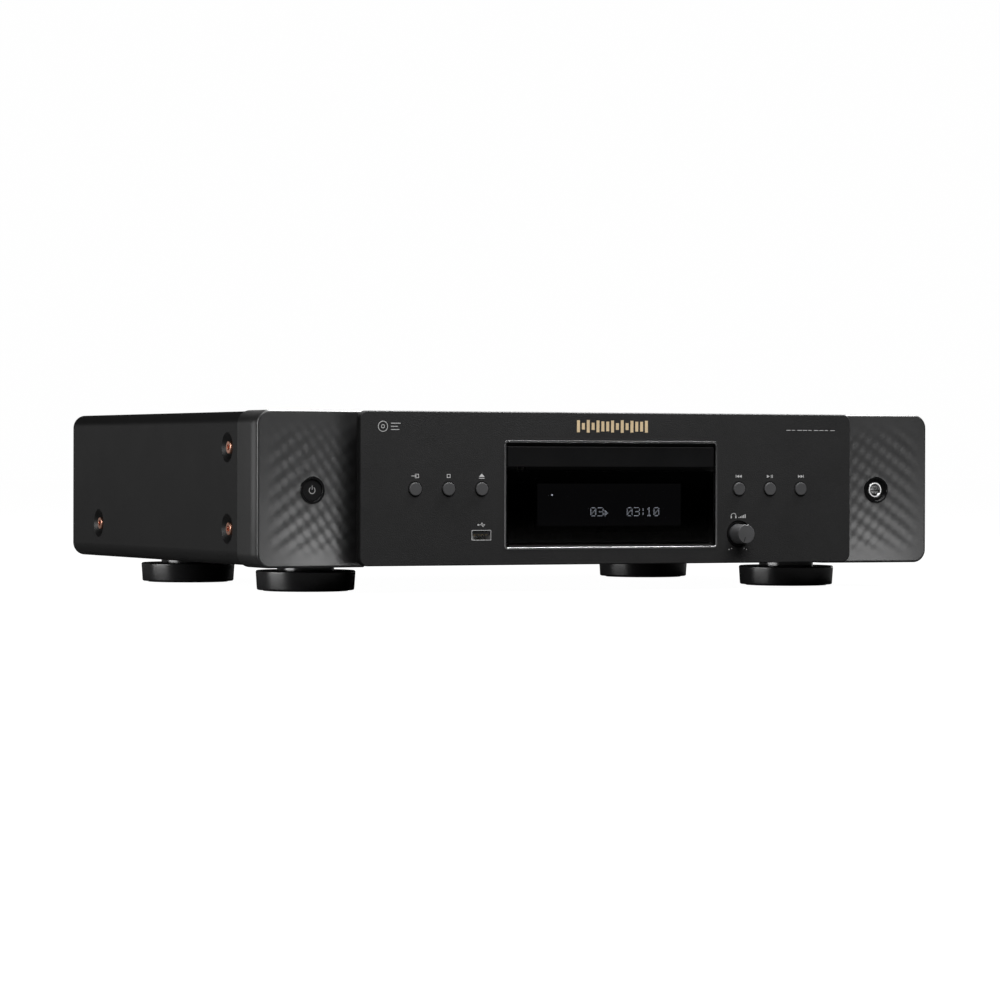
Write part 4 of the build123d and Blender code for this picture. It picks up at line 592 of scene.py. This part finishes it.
class PLAYER_OT_cheeks(bpy.types.Operator):
    """Moulds the two cheeks with their waffle relief"""
    bl_idname = "player.cheeks"
    bl_label = "Cheeks"

    def execute(self, context):
        cheek = context.scene.player_cheeks
        satin = finish("cheek_satin", context.scene.player_finish.cheek, 0.36, specular=0.5,
                       grain=(0.00025, 0.000006), tint=0.05, spread=0.03)
        holes = (("left_wing", "power_ring", cheek.power_hole),
                 ("right_wing", "headphone_ring", cheek.jack_hole))
        for node, control, hole in holes:
            bm = cheek_shell(node, control, hole, cheek)
            obj = to_piece(node.replace("wing", "cheek"), bm, "chassis", satin, sharp=60)
            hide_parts(node)
            wall = obj.modifiers.new("wall", "SOLIDIFY")
            wall.thickness = cheek.wall
            wall.offset = -1
        return {"FINISHED"}


# Signs as rows of dots, from the top; > is the small play mark.
GLYPHS = {
    "0": ("01110", "10001", "10011", "10101", "11001", "10001", "01110"),
    "1": ("00100", "01100", "00100", "00100", "00100", "00100", "01110"),
    "2": ("01110", "10001", "00001", "00110", "01000", "10000", "11111"),
    "3": ("11110", "00001", "00001", "01110", "00001", "00001", "11110"),
    "4": ("00010", "00110", "01010", "10010", "11111", "00010", "00010"),
    "5": ("11111", "10000", "11110", "00001", "00001", "10001", "01110"),
    "6": ("00110", "01000", "10000", "11110", "10001", "10001", "01110"),
    "7": ("11111", "00001", "00010", "00100", "01000", "01000", "01000"),
    "8": ("01110", "10001", "10001", "01110", "10001", "10001", "01110"),
    "9": ("01110", "10001", "10001", "01111", "00001", "00010", "01100"),
    ":": ("000", "010", "010", "000", "010", "010", "000"),
    ">": ("000", "000", "100", "110", "111", "110", "100"),
}


def lit_text(bm, text, left, base, display):
    """Draws dots for a text, from its lower left corner on the screen's face."""
    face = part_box("display_panel")[0].y
    for sign in text:
        rows = GLYPHS[sign]
        for j, row in enumerate(reversed(rows)):
            for i, lit in enumerate(row):
                if lit == "1":
                    x = left + i * display.pitch_across
                    z = base + j * display.pitch_up
                    block(bm, (x, face - 0.08 * MM, z), (x + display.dot, face - 0.02 * MM, z + display.dot))
        left += (len(rows[0]) + 1) * display.pitch_across


class PLAYER_OT_display(bpy.types.Operator):
    """Finishes the tray's door, the trim, the window and the screen, and lights the dots"""
    bl_idname = "player.display"
    bl_label = "Tray and Display"

    def execute(self, context):
        display = context.scene.player_display
        shades = context.scene.player_finish
        dress(finish("trim_silver", shades.silver, 0.2, metallic=1.0, dust=0.02, spread=0.03, tint=0.05,
                     brushed=((80.0, 2500.0, 2500.0), 0.000003)), "window_trim")
        dress(finish("door_brushed", (0.005, 0.005, 0.0053), 0.34, specular=0.25, dust=0.03, spread=0.02,
                     brushed=((30.0, 3000.0, 2600.0), 0.000008), edge=0.0002), "tray_door")
        dress(finish("panel_frame", (0.006, 0.006, 0.006), 0.5, specular=0.3, edge=0.0002), "front_frame")
        screen = finish("screen_glass", (0.009, 0.009, 0.0095), 0.25, specular=0.3, dust=0.0,
                        grain=(0.0008, 0.000002))
        shader = screen.node_tree.nodes["Principled BSDF"]
        # Painted light: a faint glow over the middle of the screen stands in for the light that the smoked
        # window keeps from falling on it.
        shader.inputs["Emission Strength"].default_value = 0.045
        centre = middle_of("display_panel")
        area = inside_box(screen.node_tree, centre, SCREEN_GLOW_HALF)
        screen.node_tree.links.new(area, shader.inputs["Emission Color"])
        dress(screen, "display_panel")

        glass = finish("smoked_window", (0.05, 0.05, 0.055), 0.03, dust=0.0, spread=0.01, tint=0.02,
                       grain=(0.004, 0.0000004))
        shader = glass.node_tree.nodes["Principled BSDF"]
        shader.inputs["Transmission Weight"].default_value = 1.0
        shader.inputs["IOR"].default_value = 1.35
        dress(glass, "display_window")

        lit = finish("lit_dots", display.light, 0.5, dust=0.0)
        shader = lit.node_tree.nodes["Principled BSDF"]
        shader.inputs["Emission Color"].default_value = (*display.light, 1)
        shader.inputs["Emission Strength"].default_value = display.glow
        bm = bmesh.new()
        base = centre.z - 6.7 * MM
        lit_text(bm, display.track, centre.x - 12.6 * MM, base, display)
        lit_text(bm, ">", centre.x - 3.2 * MM, base, display)
        lit_text(bm, display.time, centre.x + 11.4 * MM, base, display)
        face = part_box("display_panel")[0].y
        mark = Vector((centre.x - 38.2 * MM, face - 0.05 * MM, centre.z + 5.4 * MM))
        block(bm, mark, mark + Vector((0.75, 0.03, 0.75)) * MM)
        to_piece("display_dots", bm, "chassis", lit)
        return {"FINISHED"}


def print_depths(mark):
    """From just inside the plate's face to the print's own face."""
    return FACE + 0.01 * MM, FACE - mark.thickness


def icon_stop(bm, x, z, mark):
    """An open square."""
    size, line, depths = 1.1 * MM, mark.stroke, print_depths(mark)
    span = size - line
    for side in (-1, 1):
        near, far = sorted((side * size, side * span))
        bar(bm, (x + near, z - size), (x + far, z + size), depths)
        bar(bm, (x - span, z + near), (x + span, z + far), depths)


def icon_eject(bm, x, z, mark):
    """A triangle over a line."""
    half, depths = 1.8 * MM, print_depths(mark)
    bar(bm, (x - half, z - 1.45 * MM), (x + half, z - 1.45 * MM + mark.stroke), depths)
    slab(bm, [(x - half, z - 0.5 * MM), (x + half, z - 0.5 * MM), (x, z + 1.5 * MM)], depths)


def triangle(bm, x, z, size, way, mark):
    """A filled triangle that points right for way 1 and left for -1."""
    slab(bm, [(x - way * size, z - size), (x + way * size, z), (x - way * size, z + size)],
         print_depths(mark))


def icon_skip(bm, x, z, mark, way):
    """Two triangles and a bar, to the right for way 1 and to the left for -1."""
    half = mark.stroke / 2
    for shift in (-0.85, 0.95):
        triangle(bm, x + shift * MM, z, 0.9 * MM, way, mark)
    stop = x + way * 2.0 * MM
    bar(bm, (stop - half, z - 0.9 * MM), (stop + half, z + 0.9 * MM), print_depths(mark))


def icon_play_pause(bm, x, z, mark):
    """A triangle and two bars."""
    triangle(bm, x - 1.1 * MM, z, 0.95 * MM, 1, mark)
    for shift in (0.75, 1.65):
        left = x + shift * MM
        bar(bm, (left, z - 0.95 * MM), (left + mark.stroke, z + 0.95 * MM), print_depths(mark))


def icon_input(bm, x, z, mark):
    """An arrow into an open frame."""
    depths, line = print_depths(mark), mark.stroke
    left, right, low, high = x - 0.2 * MM, x + 2.3 * MM, z - 1.2 * MM, z + 1.2 * MM
    bar(bm, (left, low), (right, low + line), depths)
    bar(bm, (left, high - line), (right, high), depths)
    bar(bm, (right - line, low + line), (right, high - line), depths)
    bar(bm, (x - 2.4 * MM, z - line / 2), (x - 0.1 * MM, z + line / 2), depths)
    triangle(bm, x + 0.5 * MM, z, 0.62 * MM, 1, mark)


def icon_headphones(bm, x, z, mark):
    """A band over two ear pads."""
    depths = print_depths(mark)
    hoop(bm, (x, 0, z - 0.4 * MM), (1.55 * MM, 1.55 * MM + mark.stroke), depths, -math.pi / 2, math.pi, 20)
    for side in (-1, 1):
        near, far = sorted((x + side * 1.15 * MM, x + side * 1.95 * MM))
        bar(bm, (near, z - 1.6 * MM), (far, z - 0.3 * MM), depths)


def icon_level(bm, x, z, mark):
    """Five bars that grow to the right."""
    foot = z - 1.2 * MM
    for i in range(5):
        left = x + i * 1.05 * MM
        bar(bm, (left, foot), (left + 0.6 * MM, foot + (0.55 + 0.42 * i) * MM), print_depths(mark))


def icon_port(bm, x, z, mark):
    """A stem that forks to two squares, with a dot at its foot and an arrow at its end."""
    depths, line, half = print_depths(mark), mark.stroke * 0.7, 0.35 * MM
    bar(bm, (x - 1.9 * MM, z - line / 2), (x + 1.5 * MM, z + line / 2), depths)
    triangle(bm, x + 1.9 * MM, z, 0.5 * MM, 1, mark)
    hoop(bm, (x - 2.2 * MM, 0, z), (0.05 * MM, 0.5 * MM), depths, steps=16)
    for rise, start in ((0.85 * MM, x - 0.9 * MM), (-0.85 * MM, x - 0.2 * MM)):
        slab(bm, [(start, z), (start + half, z), (start + 1.0 * MM, z + rise),
                  (start + 0.65 * MM, z + rise)], depths)
        tip = start + 1.1 * MM
        bar(bm, (tip - half, z + rise - half), (tip + half, z + rise + half), depths)


def icon_disc(bm, x, z, mark):
    """A disc with its hub."""
    hoop(bm, (x, 0, z), (2.75 * MM, 2.75 * MM + mark.stroke), print_depths(mark), steps=40)
    hoop(bm, (x, 0, z), (0.8 * MM, 0.8 * MM + mark.stroke), print_depths(mark), steps=20)


class PLAYER_OT_marks(bpy.types.Operator):
    """Prints the plain pictograms and the gold ornament on the front plate"""
    bl_idname = "player.marks"
    bl_label = "Printed Marks"

    def execute(self, context):
        mark = context.scene.player_marks
        ink = finish("grey_print", mark.ink, 0.55, dust=0.02, grain=(0.0003, 0.000004))
        gold = finish("gold_print", mark.gold, 0.34, metallic=0.25, dust=0.02, grain=(0.0003, 0.000003))
        bm = bmesh.new()
        icons = {
            "input_button": icon_input, "stop_button": icon_stop, "open_button": icon_eject,
            "previous_button": lambda *a: icon_skip(*a, -1), "play_button": icon_play_pause,
            "next_button": lambda *a: icon_skip(*a, 1),
        }
        for node, icon in icons.items():
            icon(bm, middle_of(node).x, middle_of(node).z + mark.above, mark)
        knob = middle_of("level_knob")
        icon_headphones(bm, knob.x - 3.6 * MM, knob.z + 10.9 * MM, mark)
        icon_level(bm, knob.x - 0.2 * MM, knob.z + 10.6 * MM, mark)
        for across, down in ((-6.6, 9.3), (-4.9, 8.7), (3.6, 8.7), (5.3, 9.3)):
            hoop(bm, (knob.x + across * MM, 0, knob.z - down * MM), (0.05 * MM, 0.34 * MM),
                 print_depths(mark), steps=12)
        port = middle_of("usb_socket")
        icon_port(bm, port.x, port.z + 6.0 * MM, mark)
        low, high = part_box("front_plate")
        row = high.z - 9.0 * MM
        icon_disc(bm, low.x + 14.2 * MM, row, mark)
        for i in range(3):
            left = low.x + 19.2 * MM
            base = row + (1.8 - 1.8 * i) * MM
            wide = (6.0, 4.4, 5.2)[i] * MM
            bar(bm, (left, base - 0.2 * MM), (left + wide, base + 0.2 * MM), print_depths(mark))
        for i in range(9):
            left = high.x - 44.4 * MM + i * 3.8 * MM
            wide = (2.9, 2.2, 3.1)[i % 3] * MM
            foot = row - 0.9 * MM
            bar(bm, (left, foot), (left + wide, foot + mark.stroke), print_depths(mark))
        to_piece("printed_marks", bm, "chassis", ink)

        bm = bmesh.new()
        bars = 15
        step = mark.ornament_width / bars
        middle = high.z - 8.2 * MM
        for i in range(bars):
            x = (i - (bars - 1) / 2) * step
            share = 0.42 + 0.58 * abs(math.cos(i * 1.35 + 0.4))
            tall = mark.ornament_height / 2 * share
            bar(bm, (x - step * 0.3, middle - tall), (x + step * 0.3, middle + tall),
                (FACE + 0.01 * MM, FACE - 2 * mark.thickness))
        to_piece("gold_ornament", bm, "chassis", gold)
        return {"FINISHED"}


class PLAYER_OT_controls(bpy.types.Operator):
    """Finishes the buttons, the knob and the power button, and adds their small marks"""
    bl_idname = "player.controls"
    bl_label = "Controls"

    def execute(self, context):
        mark = context.scene.player_marks
        cheek = context.scene.player_cheeks
        shade = context.scene.player_finish.button
        metal = finish("button_satin", shade, 0.38, specular=0.5, dust=0.03, spread=0.03,
                       grain=(0.0003, 0.000008), edge=0.00035)
        dress(metal, *BUTTONS)
        # Painted light: the knob takes the buttons' colour made 1.15 times lighter. This lit copy of the
        # same satin brings its face up to the buttons' brightness.
        lit_knob_satin = finish("knob_satin", [1.15 * part for part in shade], 0.38, specular=0.5, dust=0.03,
                        spread=0.03, grain=(0.0003, 0.000008), edge=0.00035)
        index = near_line(lit_knob_satin.node_tree, middle_of("level_knob"), math.radians(20),
                          (0.24 * MM, 1.9 * MM, 5.0 * MM))
        paint_over(lit_knob_satin, index, (0.002, 0.002, 0.002))
        dress(lit_knob_satin, "level_knob")
        dress(finish("power_cap", (0.008, 0.008, 0.0085), 0.34, specular=0.4, dust=0.02, edge=0.0004),
              "power_button")
        dress(finish("ring_gloss", (0.004, 0.004, 0.0042), 0.14, specular=0.7, dust=0.0, edge=0.0004),
              "power_ring", "headphone_ring")
        dress(finish("control_body", (0.02, 0.02, 0.02), 0.5), "level_control")

        centre = middle_of("power_ring")
        bm = bmesh.new()
        line = 0.36 * MM
        hoop(bm, (centre.x, 0, centre.z - 0.1 * MM), (1.7 * MM, 1.7 * MM + line), (0, mark.thickness),
             math.radians(35), math.radians(290), 40)
        block(bm, (centre.x - line / 2, 0, centre.z + 0.2 * MM),
              (centre.x + line / 2, mark.thickness, centre.z + 2.7 * MM))
        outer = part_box("left_wing")[0]
        for vert in bm.verts:
            reach = vert.co.x - outer.x
            surface = outer.y + cheek.sweep - math.sqrt((cheek.sweep - CAP_SHY) ** 2 - reach ** 2)
            vert.co.y = surface - mark.thickness + vert.co.y + 0.005 * MM
        to_piece("power_icon", bm, "power_button",
                 finish("icon_grey", (0.5, 0.5, 0.5), 0.5, dust=0.0))
        return {"FINISHED"}


class PLAYER_OT_sockets(bpy.types.Operator):
    """Finishes the sockets, and adds their contacts and pins"""
    bl_idname = "player.sockets"
    bl_label = "Sockets"

    def execute(self, context):
        dress(finish("socket_chrome", (0.7, 0.7, 0.7), 0.12, metallic=1.0, dust=0.02, edge=0.0003),
              "headphone_jack")
        dress(finish("port_steel", (0.5, 0.5, 0.5), 0.28, metallic=1.0, dust=0.02,
                     brushed=((60.0, 2500.0, 2500.0), 0.000006)), "usb_socket")
        plastic = finish("port_plastic", (0.012, 0.012, 0.012), 0.5)
        brass = finish("contact_gold", (0.8, 0.6, 0.3), 0.25, metallic=1.0, dust=0.0)
        low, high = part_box("usb_socket")
        x, z = (low.x + high.x) / 2, (low.z + high.z) / 2
        bm = bmesh.new()
        block(bm, (x - 5.4 * MM, low.y + 1.0 * MM, z + 0.25 * MM),
              (x + 5.4 * MM, high.y - 1.2 * MM, z + 2.1 * MM), 0.15 * MM)
        to_piece("port_tongue", bm, "chassis", plastic)
        bm = bmesh.new()
        for place in (-3.75, -1.25, 1.25, 3.75):
            block(bm, (x + (place - 0.5) * MM, low.y + 1.6 * MM, z + 0.1 * MM),
                  (x + (place + 0.5) * MM, high.y - 3.0 * MM, z + 0.3 * MM))
        to_piece("port_contacts", bm, "chassis", brass)

        outlets = {mount["name"]: Vector(mount["pos_m"]) for mount in frame["record"]["mounts"]}
        gold = (0.85, 0.6, 0.28)
        phono = finish("phono_gold", gold, 0.2, metallic=1.0, dust=0.02)
        for outlet, shade in (("line_out_outer", (0.6, 0.6, 0.58)), ("line_out_inner", (0.5, 0.02, 0.02))):
            paint_over(phono, near_point(phono.node_tree, outlets[outlet], PHONO_INSERT), shade)
        dress(phono, "line_sockets")
        digital = finish("coaxial_gold", gold, 0.2, metallic=1.0, dust=0.02)
        paint_over(digital, near_point(digital.node_tree, outlets["digital_coaxial"], PHONO_INSERT),
                   (0.7, 0.2, 0.02))
        paint_over(digital, near_point(digital.node_tree, outlets["digital_optical"], SHUTTER_REACH),
                   (0.012, 0.012, 0.012))
        dress(digital, "digital_sockets")
        dress(finish("jack_black", (0.012, 0.012, 0.012), 0.4), "remote_sockets", "mains_inlet")

        low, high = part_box("mains_inlet")
        x, z = (low.x + high.x) / 2, (low.z + high.z) / 2
        bm = bmesh.new()
        for across, rise in ((-7.0, -1.5), (7.0, -1.5), (0.0, 2.5)):
            block(bm, (x + (across - 1.0) * MM, high.y - 15.2 * MM, z + (rise - 2.0) * MM),
                  (x + (across + 1.0) * MM, high.y - 3.0 * MM, z + (rise + 2.0) * MM), 0.3 * MM)
        to_piece("inlet_pins", bm, "chassis",
                 finish("pin_nickel", (0.62, 0.6, 0.56), 0.25, metallic=1.0, dust=0.0))
        return {"FINISHED"}


class PLAYER_OT_mechanism(bpy.types.Operator):
    """Finishes the tray, the loader and the traverse"""
    bl_idname = "player.mechanism"
    bl_label = "Disc Mechanism"

    def execute(self, context):
        dress(finish("tray_plastic", (0.014, 0.014, 0.015), 0.4, specular=0.4, grain=(0.0005, 0.00002),
                     edge=0.0003), "tray")
        dress(finish("loader_plastic", (0.02, 0.02, 0.021), 0.5, grain=(0.0006, 0.00003)), "loader_frame")
        dress(finish("bridge_steel", (0.5, 0.5, 0.48), 0.35, metallic=1.0,
                     brushed=((40.0, 1200.0, 1200.0), 0.00001)), "clamp_bridge", "traverse_base")
        dress(finish("clamp_plastic", (0.03, 0.03, 0.03), 0.45, grain=(0.0006, 0.00001)), "clamper")
        dress(finish("gear_acetal", (0.62, 0.61, 0.57), 0.42, specular=0.4, grain=(0.0008, 0.000008),
                     edge=0.0002), "drive_gear", "belt_gear", "motor_pulley", "lead_screw")
        dress(finish("belt_rubber", (0.015, 0.015, 0.015), 0.75, grain=(0.0004, 0.00002)), "drive_belt")
        dress(finish("motor_can", (0.55, 0.55, 0.56), 0.3, metallic=1.0,
                     brushed=((1500.0, 1500.0, 60.0), 0.00001)),
              "loading_motor", "spindle_motor", "sled_motor")
        dress(finish("ground_rod", (0.6, 0.6, 0.6), 0.15, metallic=1.0,
                     brushed=((3000.0, 80.0, 3000.0), 0.000004)), "guide_rods")
        dress(finish("table_rubber", (0.03, 0.03, 0.031), 0.6, grain=(0.0007, 0.00002)), "turntable")
        dress(finish("pickup_cast", (0.05, 0.05, 0.052), 0.45, grain=(0.0008, 0.00002)), "pickup")
        dress(finish("lens_coated", (0.05, 0.03, 0.09), 0.05, coat=1.0, dust=0.0), "pickup_lens")
        return {"FINISHED"}


class PLAYER_OT_electronics(bpy.types.Operator):
    """Finishes the boards, the transformer and the parts on them"""
    bl_idname = "player.electronics"
    bl_label = "Electronics"

    def execute(self, context):
        board = finish("board_lacquer", (0.01, 0.06, 0.03), 0.3, specular=0.5, grain=(0.0025, 0.00002))
        dress(board, "power_board", "audio_board", "switch_boards")
        dress(finish("capacitor_sleeve", (0.02, 0.02, 0.03), 0.25, edge=0.0004), "capacitors")
        dress(finish("sink_anodised", (0.3, 0.3, 0.3), 0.4, metallic=1.0,
                     brushed=((50.0, 50.0, 1500.0), 0.00002)), "heatsink")
        dress(finish("core_laminate", (0.12, 0.12, 0.13), 0.45, metallic=0.8,
                     brushed=((60.0, 1600.0, 60.0), 0.00005)), "transformer_core")
        dress(finish("coil_tape", (0.5, 0.32, 0.05), 0.35, grain=(0.003, 0.00003)), "transformer_coil")
        return {"FINISHED"}


def area_light(name, place, aim, size, power):
    """A rectangular soft light at place that faces aim."""
    light = bpy.data.lights.new(name, "AREA")
    light.shape = "RECTANGLE"
    light.size, light.size_y = size
    light.energy = power
    obj = bpy.data.objects.new(name, light)
    obj.location = place
    obj.rotation_mode = "QUATERNION"
    obj.rotation_quaternion = (Vector(aim) - Vector(place)).to_track_quat("-Z", "Y")
    obj.visible_camera = False
    bpy.context.scene.collection.objects.link(obj)
    return obj


def shine_on(light, name, *pieces):
    """Keeps a light to some of the pieces."""
    lit = bpy.data.collections.new(name)
    for piece in pieces:
        lit.objects.link(bpy.data.objects[piece])
    light.light_linking.receiver_collection = lit


# Name, place, size and power of the lights that face the middle, and the pieces each is kept to.
LIGHTS = (
    ("top_softbox", (0.0, -1.2, 1.5), (1.6, 1.0), 39, ()),
    ("rear_softbox", (-1.05, 1.6, 0.12), (0.9, 0.5), 0.5, ()),
    ("right_softbox", (1.4, 0.9, 0.4), (0.5, 0.8), 3, ()),
    ("rear_glint", (-0.95, 1.6, 0.08), (0.8, 0.3), 0.8, CHEEKS),
    ("back_softbox", (0.5, 1.5, 0.7), (1.2, 0.7), 14,
     ("rear_panel", "line_sockets", "digital_sockets", "remote_sockets", "mains_inlet", "chassis_screws")),
    ("edge_softbox", (0.5, 0.15, 1.2), (1.1, 0.7), 95,
     (*CHEEKS, *BUTTONS, "front_plate", "level_knob", "tray_door", "display_window")),
    ("front_glint", (0.62, -1.5, 0.16), (0.7, 0.5), 0.7,
     (*CHEEKS, "headphone_jack", "usb_socket", "port_tongue", "port_contacts")),
    ("jack_glint", (0.85, -1.3, 0.2), (1.6, 1.2), 5, ("headphone_jack", "usb_socket")),
    ("ring_glint", (-0.6, -0.6, 1.1), (0.6, 0.5), 5, ("headphone_ring", "power_ring")),
    ("rim_glint", (-1.3, -0.62, 0.3), (0.25, 0.5), 14,
     (*CHEEKS, "headphone_jack", "headphone_ring", "power_ring", "usb_socket")),
)


class PLAYER_OT_stage(bpy.types.Operator):
    """Sets the pale floor, the soft lights and the camera"""
    bl_idname = "player.stage"
    bl_label = "Stage"

    def execute(self, context):
        scene = context.scene
        stage = scene.player_stage
        bm = bmesh.new()
        bmesh.ops.create_grid(bm, x_segments=4, y_segments=4, size=12.0)
        mesh = bpy.data.meshes.new("floor")
        bm.to_mesh(mesh)
        bm.free()
        floor = bpy.data.objects.new("floor", mesh)
        scene.collection.objects.link(floor)
        paper = bpy.data.materials.new("pale_floor")
        paper.use_nodes = True
        tree = paper.node_tree
        shader = tree.nodes["Principled BSDF"]
        shader.inputs["Base Color"].default_value = (*stage.floor, 1)
        shader.inputs["Roughness"].default_value = 0.9
        shader.inputs["Specular IOR Level"].default_value = 0.0
        shader.inputs["Emission Color"].default_value = (1, 1, 1, 1)
        ray = tree.nodes.new("ShaderNodeLightPath")
        tree.links.new(maths(tree, "MULTIPLY", ray.outputs["Is Camera Ray"], 0.99),
                       shader.inputs["Emission Strength"])
        mesh.materials.append(paper)

        world = bpy.data.worlds.new("studio")
        scene.world = world
        world.use_nodes = True
        tree = world.node_tree
        ray = tree.nodes.new("ShaderNodeLightPath")
        glow = maths(tree, "ADD", maths(tree, "MULTIPLY", ray.outputs["Is Camera Ray"], 0.98), 0.015)
        tree.nodes["Background"].inputs["Color"].default_value = (1, 1, 1, 1)
        tree.links.new(glow, tree.nodes["Background"].inputs["Strength"])

        middle = Vector((0, 0, 0.06))
        left = area_light("left_softbox", (-1.5, -0.05, 0.3), middle, (0.9, 0.6), 10)
        shine_on(left, "not_left_lit", "front_plate", *CHEEKS)
        for link in bpy.data.collections["not_left_lit"].collection_objects:
            link.light_linking.link_state = "EXCLUDE"
        for name, place, size, power, pieces in LIGHTS:
            light = area_light(name, place, middle, size, power)
            if pieces:
                shine_on(light, name + "_lit", *pieces)
        strip = area_light("front_strip", (0, FACE - 0.16, 0.32), Vector((0, FACE, 0.08)), (0.7, 0.08), 0.65)
        shine_on(strip, "strip_lit", "front_plate")
        for side, shift in (("left", 0.064), ("right", 0.026)):
            wing = middle_of(side + "_wing")
            place = Vector((wing.x + shift, FACE - 0.075, 0.004))
            card = area_light("low_card", place, place + Vector((0, 0.5, 1)), (0.08, 0.07), 0.14)
            shine_on(card, side + "_card_lit", side + "_cheek")
            place = Vector((wing.x + 0.17, FACE - 0.36, 0.012))
            card = area_light("low_strip", place, Vector((wing.x, FACE, 0.03)), (0.3, 0.02), 0.2)
            shine_on(card, side + "_strip_lit", side + "_cheek")
        for node in FEET:
            foot = middle_of(node)
            card = area_light("foot_card", foot + Vector((-0.12, -0.006, 0)), foot, (0.08, 0.014), 0.045)
            shine_on(card, node + "_lit", node)

        ahead = Vector((math.sin(stage.yaw) * math.cos(stage.pitch),
                        math.cos(stage.yaw) * math.cos(stage.pitch), math.sin(stage.pitch)))
        level = Vector((math.cos(stage.yaw), -math.sin(stage.yaw), 0))
        above = level.cross(ahead)
        right = level * math.cos(stage.roll) + above * math.sin(stage.roll)
        upward = above * math.cos(stage.roll) - level * math.sin(stage.roll)
        lens = bpy.data.cameras.new("camera")
        lens.sensor_width = 36
        lens.lens = stage.lens
        lens.clip_start, lens.clip_end = 0.1, 100
        camera = bpy.data.objects.new("camera", lens)
        camera.matrix_world = Matrix((right, upward, -ahead)).transposed().to_4x4()
        camera.location = (stage.camera_side, FACE - stage.camera_ahead, stage.camera_height)
        scene.collection.objects.link(camera)
        scene.camera = camera
        scene.view_settings.view_transform = "Standard"
        return {"FINISHED"}


class PLAYER_PT_panel(bpy.types.Panel):
    bl_idname = "PLAYER_PT_panel"
    bl_label = "Disc Player"
    bl_space_type = "VIEW_3D"
    bl_region_type = "UI"
    bl_category = "Disc Player"

    def draw(self, context):
        for operator in OPERATORS:
            self.layout.operator(operator.bl_idname)
        for name in SETTINGS:
            settings = getattr(context.scene, name)
            box = self.layout.box()
            for key in settings.bl_rna.properties.keys():
                if key not in ("rna_type", "name"):
                    box.prop(settings, key)


SETTINGS = {
    "player_cheeks": CheekSettings, "player_marks": MarkSettings, "player_display": DisplaySettings,
    "player_finish": FinishSettings, "player_stage": StageSettings,
}
OPERATORS = (PLAYER_OT_effects, PLAYER_OT_case, PLAYER_OT_cheeks, PLAYER_OT_display, PLAYER_OT_marks,
             PLAYER_OT_controls, PLAYER_OT_sockets, PLAYER_OT_mechanism, PLAYER_OT_electronics,
             PLAYER_OT_stage)


def register():
    for settings in SETTINGS.values():
        bpy.utils.register_class(settings)
    for operator in OPERATORS:
        bpy.utils.register_class(operator)
    bpy.utils.register_class(PLAYER_PT_panel)
    for name, settings in SETTINGS.items():
        setattr(bpy.types.Scene, name, PointerProperty(type=settings))


def unregister():
    for name in SETTINGS:
        delattr(bpy.types.Scene, name)
    bpy.utils.unregister_class(PLAYER_PT_panel)
    for operator in reversed(OPERATORS):
        bpy.utils.unregister_class(operator)
    for settings in reversed(SETTINGS.values()):
        bpy.utils.unregister_class(settings)


def main():
    register()
    for operator in OPERATORS:
        section, name = operator.bl_idname.split(".")
        getattr(getattr(bpy.ops, section), name)()


if __name__ == "__main__":
    main()
